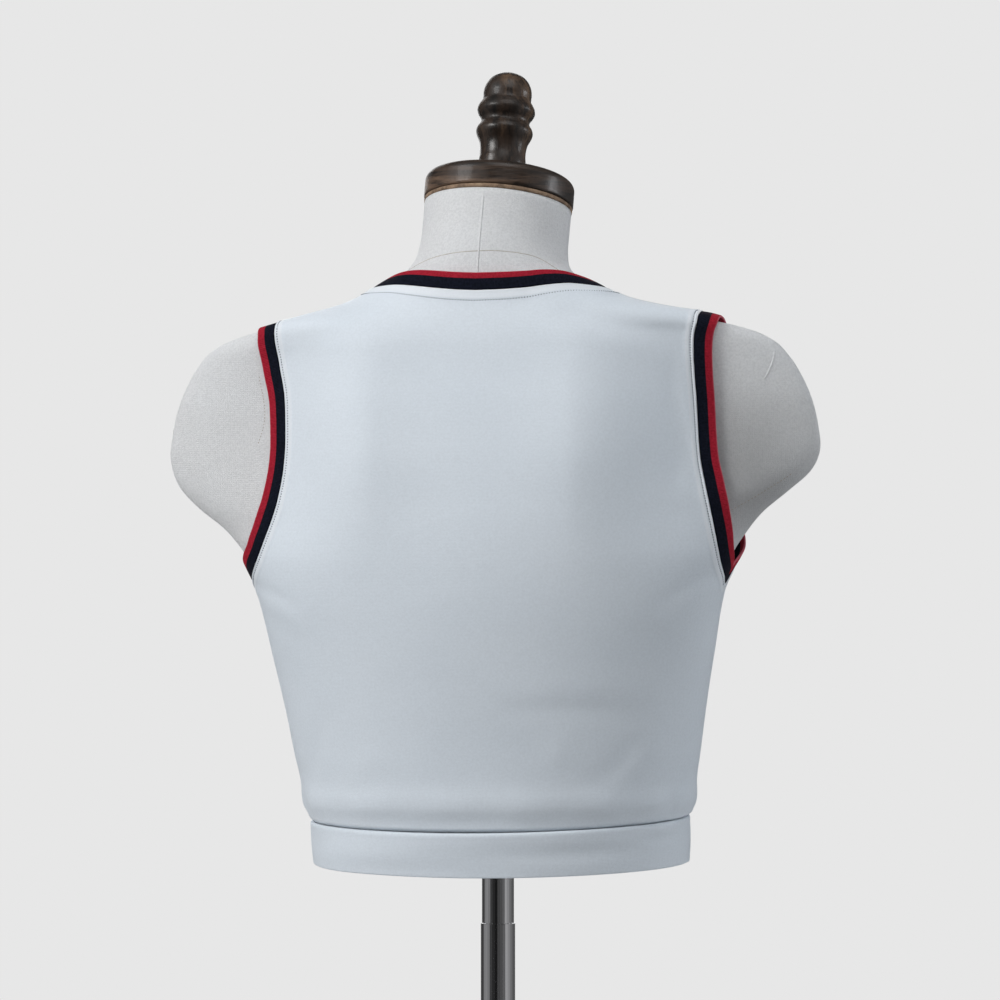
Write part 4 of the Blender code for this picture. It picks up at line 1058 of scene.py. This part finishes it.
# cap, rim and finial
turned = {
    "sides": 128,
    "capRadius": 52.0, "capHeight": 17.5, "capRound": 5.5, "rimRadius": 51.4, "rimHeight": 2.8,
    "cornerPoints": 14, "sidePoints": 8, "hub": 0.5, "profileStep": 0.45,
    # profiles give the distance up the axis and the radius
    "finial": (
        (0.0, 16.4), (14.2, 16.4), (16.4, 16.1), (18.6, 16.0), (22.2, 16.2), (26.8, 17.2), (29.2, 18.4),
        (31.6, 19.4), (34.2, 19.8), (36.8, 19.0), (39.0, 17.6), (40.8, 16.9), (42.8, 17.2), (45.6, 19.0),
        (48.6, 20.2), (51.4, 19.8), (54.2, 18.4), (56.6, 17.0), (58.8, 16.8), (62.2, 16.9), (66.2, 16.2),
        (70.2, 14.4), (73.2, 11.8), (75.6, 7.8), (76.8, 3.4), (77.0, 0.3),
    ),
}
tilt, leanSide = math.radians(bust["neckTilt"]), math.atan(bust["neckDrop"])
neckAxis = np.array([
    math.cos(tilt) * math.sin(leanSide), -math.sin(tilt), math.cos(tilt) * math.cos(leanSide),
])


# a profile of distance up the axis and radius, swung round the neck's tilted axis
def makeTurned(name, solid, profile, base, material, slotName):
    up, radius = np.array(profile, float).T
    angle = np.linspace(0.0, 2 * np.pi, turned["sides"], endpoint=False)
    x = radius[:, None] * np.cos(angle)
    y = radius[:, None] * np.sin(angle)
    z = up[:, None] * np.ones_like(angle)
    y, z = y * math.cos(tilt) - z * math.sin(tilt), y * math.sin(tilt) + z * math.cos(tilt)
    x, z = x * math.cos(leanSide) + z * math.sin(leanSide), z * math.cos(leanSide) - x * math.sin(leanSide)
    points = np.stack([x, y, z], axis=-1) + base
    made = makeMesh(name, points, gridQuads(len(up), turned["sides"], wrapColumns=True), material)
    settle(made, slotName, solid)


# a smooth profile through the given places, with points at an even step
def fineProfile(points, step):
    up, radius = np.array(points, float).T
    run = np.concatenate([[0.0], np.cumsum(np.hypot(np.diff(up), np.diff(radius)))])
    at = np.arange(0.0, run[-1] + step, step)
    return np.stack([smoothCurve(run, up, at), smoothCurve(run, radius, at)], axis=-1)


rimBase = np.array([0.0, 0.0, bust["top"]]) + neckAxis * edges["gap"]
capBase = rimBase + neckAxis * (turned["rimHeight"] + edges["gap"])
finialBase = capBase + neckAxis * (turned["capHeight"] + edges["gap"])
corner = np.linspace(0.0, 0.5 * np.pi, turned["cornerPoints"])
hub, capRadius, capHeight, capRound = (turned[part] for part in ("hub", "capRadius", "capHeight", "capRound"))
capSide = [(0.0, hub), (0.0, 30.0), (0.0, capRadius - 1.2), (0.4, capRadius - 0.3), (1.2, capRadius)]
capSide += [(up, capRadius) for up in np.linspace(2.5, capHeight - capRound - 0.5, turned["sidePoints"])]
capSide += list(zip(
    capHeight - capRound * (1 - np.sin(corner)), capRadius - capRound * (1 - np.cos(corner)),
))
capSide += [(capHeight, 36.0), (capHeight, 18.0), (capHeight, hub)]
rimRadius, rimHeight = turned["rimRadius"], turned["rimHeight"]
rimSide = [
    (0.0, hub), (0.0, rimRadius - 0.4), (0.3, rimRadius), (1.3, rimRadius + 0.15), (2.4, rimRadius),
    (rimHeight, rimRadius - 0.5), (rimHeight, hub),
]
finialSide = [(0.0, 0.3), *fineProfile(turned["finial"], turned["profileStep"])]
makeTurned("neckRim", "neck_rim", rimSide, rimBase, rawEdge, "pale_wood")
makeTurned("neckCap", "neck_cap", capSide, capBase, walnutFlat, "walnut")
makeTurned("turnedFinial", "finial", finialSide, finialBase, walnut, "walnut")
print("cap and finial ready")

# the stand keeps its CAD shapes
standMaterials = {
    "pole": chrome, "pole_sleeve": chrome, "base_socket": chrome, "pole_flange": steel, "base_plate": steel,
}
for nodeName, material in standMaterials.items():
    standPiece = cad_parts[nodeName]
    standPiece.data.materials.clear()
    standPiece.data.materials.append(material)
print("stand ready")

# the area of a grid of points, in square metres
def outerArea(points):
    here = points * mm
    first = np.cross(here[1:, :-1] - here[:-1, :-1], here[:-1, 1:] - here[:-1, :-1])
    second = np.cross(here[1:, :-1] - here[1:, 1:], here[:-1, 1:] - here[1:, 1:])
    return 0.5 * float(np.linalg.norm(first, axis=-1).sum() + np.linalg.norm(second, axis=-1).sum())


print("cloth area back", outerArea(backOuter), "front", outerArea(frontOuter))

# floor, light and camera, in metres and watts
cameraSettings = {
    "yaw": 11.0, "distance": 3.125, "height": 0.466, "lens": 162.0, "filmWidth": 36.0, "farthest": 100.0,
    "shift": (0.002, 0.05),
}
studio = {
    "backdrop": (0.7991, 0.7991, 0.7991, 1.0), "fill": 0.195, "fillTint": (0.94, 0.97, 1.0, 1.0),
    # the floor's rings, how far it lies below the base, and where its own look turns into the backdrop
    "floorRings": (0.0005, 0.5, 2.0, 8.0, 30.0), "floorSides": 96, "floorDrop": 0.0002,
    "floorFade": (0.16, 0.75),
    "floorNear": (0.78, 0.78, 0.78, 1.0), "floorBounce": (0.42, 0.42, 0.42, 1.0),
    "aim": (0.0, 0.02, 0.47),
    # each light's power, size, place and tint
    "lights": {
        "keyLight": (80.0, 1.4, (2.35, 2.05, 2.25), (1.0, 0.99, 0.98)),
        "rimLight": (12.6, 0.7, (-2.2, -0.5, 0.95), (0.93, 0.96, 1.0)),
        "topLight": (18.0, 1.6, (-0.5, 1.15, 2.5), (1.0, 1.0, 1.0)),
        "frontLight": (22.0, 1.8, (0.9, -2.3, 1.3), (1.0, 1.0, 1.0)),
    },
    # what polished metal mirrors: degrees round from behind the camera to the image's right, brightness
    "mirror": (
        (-180.0, 0.12), (-123.0, 0.05), (-104.0, 0.32), (-80.0, 0.36), (-62.0, 0.24), (-48.0, 0.05),
        (-8.0, 0.01), (3.0, 0.03), (8.0, 0.17), (22.0, 0.13), (30.0, 0.02), (39.0, 0.03), (47.0, 0.58),
        (64.0, 0.45), (81.0, 0.37), (99.0, 0.24), (123.0, 0.13), (180.0, 0.12),
    ),
}


# a grey by which way round a mirrored ray goes
def mirrorBands(tree, way):
    across, along, _ = node(tree, "ShaderNodeSeparateXYZ", Vector=way).outputs
    share = mapRange(tree, mathOf(tree, "ARCTAN2", across, along), math.pi, -math.pi)
    yaw = cameraSettings["yaw"]
    return rampOf(tree, share, *((0.5 + (at + yaw) / 360.0, bright) for at, bright in studio["mirror"]))


def mixShaders(tree, share, first, second):
    made = node(tree, "ShaderNodeMixShader", Fac=share)
    for socket, shader in zip(made.inputs[1:], (first, second)):
        tree.links.new(shader.outputs[0], socket)
    return made


# near the stand the floor takes light and shadow; farther out the camera sees the backdrop's grey,
# mirrored rays see the bands, and the rest see a dull floor
def floorMaterial():
    material = bpy.data.materials.new("paleFloor")
    material.use_nodes = True
    tree = material.node_tree
    tree.nodes.clear()
    spot = objectSpot(tree)
    ray = node(tree, "ShaderNodeLightPath").outputs
    way = mathOf(tree, "NORMALIZE", spot, kind="ShaderNodeVectorMath", result="Vector")
    near = node(tree, "ShaderNodeBsdfDiffuse", Color=studio["floorNear"])
    dull = node(tree, "ShaderNodeBsdfDiffuse", Color=studio["floorBounce"])
    mirror = node(tree, "ShaderNodeEmission", Color=mirrorBands(tree, way))
    glow = node(tree, "ShaderNodeEmission", Color=studio["backdrop"])
    bounced = mixShaders(tree, ray["Is Glossy Ray"], dull, mirror)
    far = mixShaders(tree, ray["Is Camera Ray"], bounced, glow)
    reach = mathOf(tree, "LENGTH", spot, kind="ShaderNodeVectorMath")
    fade = mapRange(tree, reach, *studio["floorFade"], interpolation_type="SMOOTHSTEP")
    node(tree, "ShaderNodeOutputMaterial", Surface=mixShaders(tree, fade, near, far).outputs[0])
    return material


def makeFloor():
    sides = studio["floorSides"]
    angle = np.linspace(0.0, 2 * np.pi, sides, endpoint=False)
    reach = np.array(studio["floorRings"])[:, None] / mm
    drop = np.full((len(reach), sides), -studio["floorDrop"] / mm)
    points = np.stack([reach * np.cos(angle), reach * np.sin(angle), drop], axis=-1)
    makeMesh("floor", points, gridQuads(len(reach), sides, wrapColumns=True), floorMaterial())


def areaLight(name, power, size, at, tint):
    light = bpy.data.lights.new(name, "AREA")
    light.energy, light.size, light.color = power, size, tint
    made = bpy.data.objects.new(name, light)
    bpy.context.scene.collection.objects.link(made)
    away = np.array(studio["aim"]) - np.array(at)
    made.location = at
    pitch = math.atan2(math.hypot(away[0], away[1]), -away[2])
    made.rotation_euler = (pitch, 0.0, math.atan2(away[1], away[0]) - math.pi / 2)


# the backdrop for the camera, a soft fill for the cloth, and a banded room for mirrored rays
def makeWorld():
    world = bpy.data.worlds.new("studio")
    bpy.context.scene.world = world
    world.use_nodes = True
    tree = world.node_tree
    tree.nodes.clear()
    ray = node(tree, "ShaderNodeLightPath").outputs
    fill = node(tree, "ShaderNodeBackground", Color=studio["fillTint"], Strength=studio["fill"])
    seen = node(tree, "ShaderNodeBackground", Color=studio["backdrop"])
    way = node(tree, "ShaderNodeTexCoord").outputs["Generated"]
    room = node(tree, "ShaderNodeBackground", Color=mirrorBands(tree, way))
    lit = mixShaders(tree, ray["Is Glossy Ray"], fill, room)
    node(tree, "ShaderNodeOutputWorld", Surface=mixShaders(tree, ray["Is Camera Ray"], lit, seen).outputs[0])


def makeCamera():
    view = bpy.data.cameras.new("camera")
    view.lens, view.sensor_width = cameraSettings["lens"], cameraSettings["filmWidth"]
    view.shift_x, view.shift_y = cameraSettings["shift"]
    view.clip_end = cameraSettings["farthest"]
    camera = bpy.data.objects.new("camera", view)
    bpy.context.scene.collection.objects.link(camera)
    yaw, distance = math.radians(cameraSettings["yaw"]), cameraSettings["distance"]
    camera.location = (-distance * math.sin(yaw), distance * math.cos(yaw), cameraSettings["height"])
    camera.rotation_euler = (math.pi / 2, 0.0, math.pi + yaw)
    bpy.context.scene.camera = camera
    bpy.context.scene.view_settings.view_transform = "Standard"


makeFloor()
makeWorld()
for lightName, lightSettings in studio["lights"].items():
    areaLight(lightName, *lightSettings)
makeCamera()
print("floor, light and camera ready")
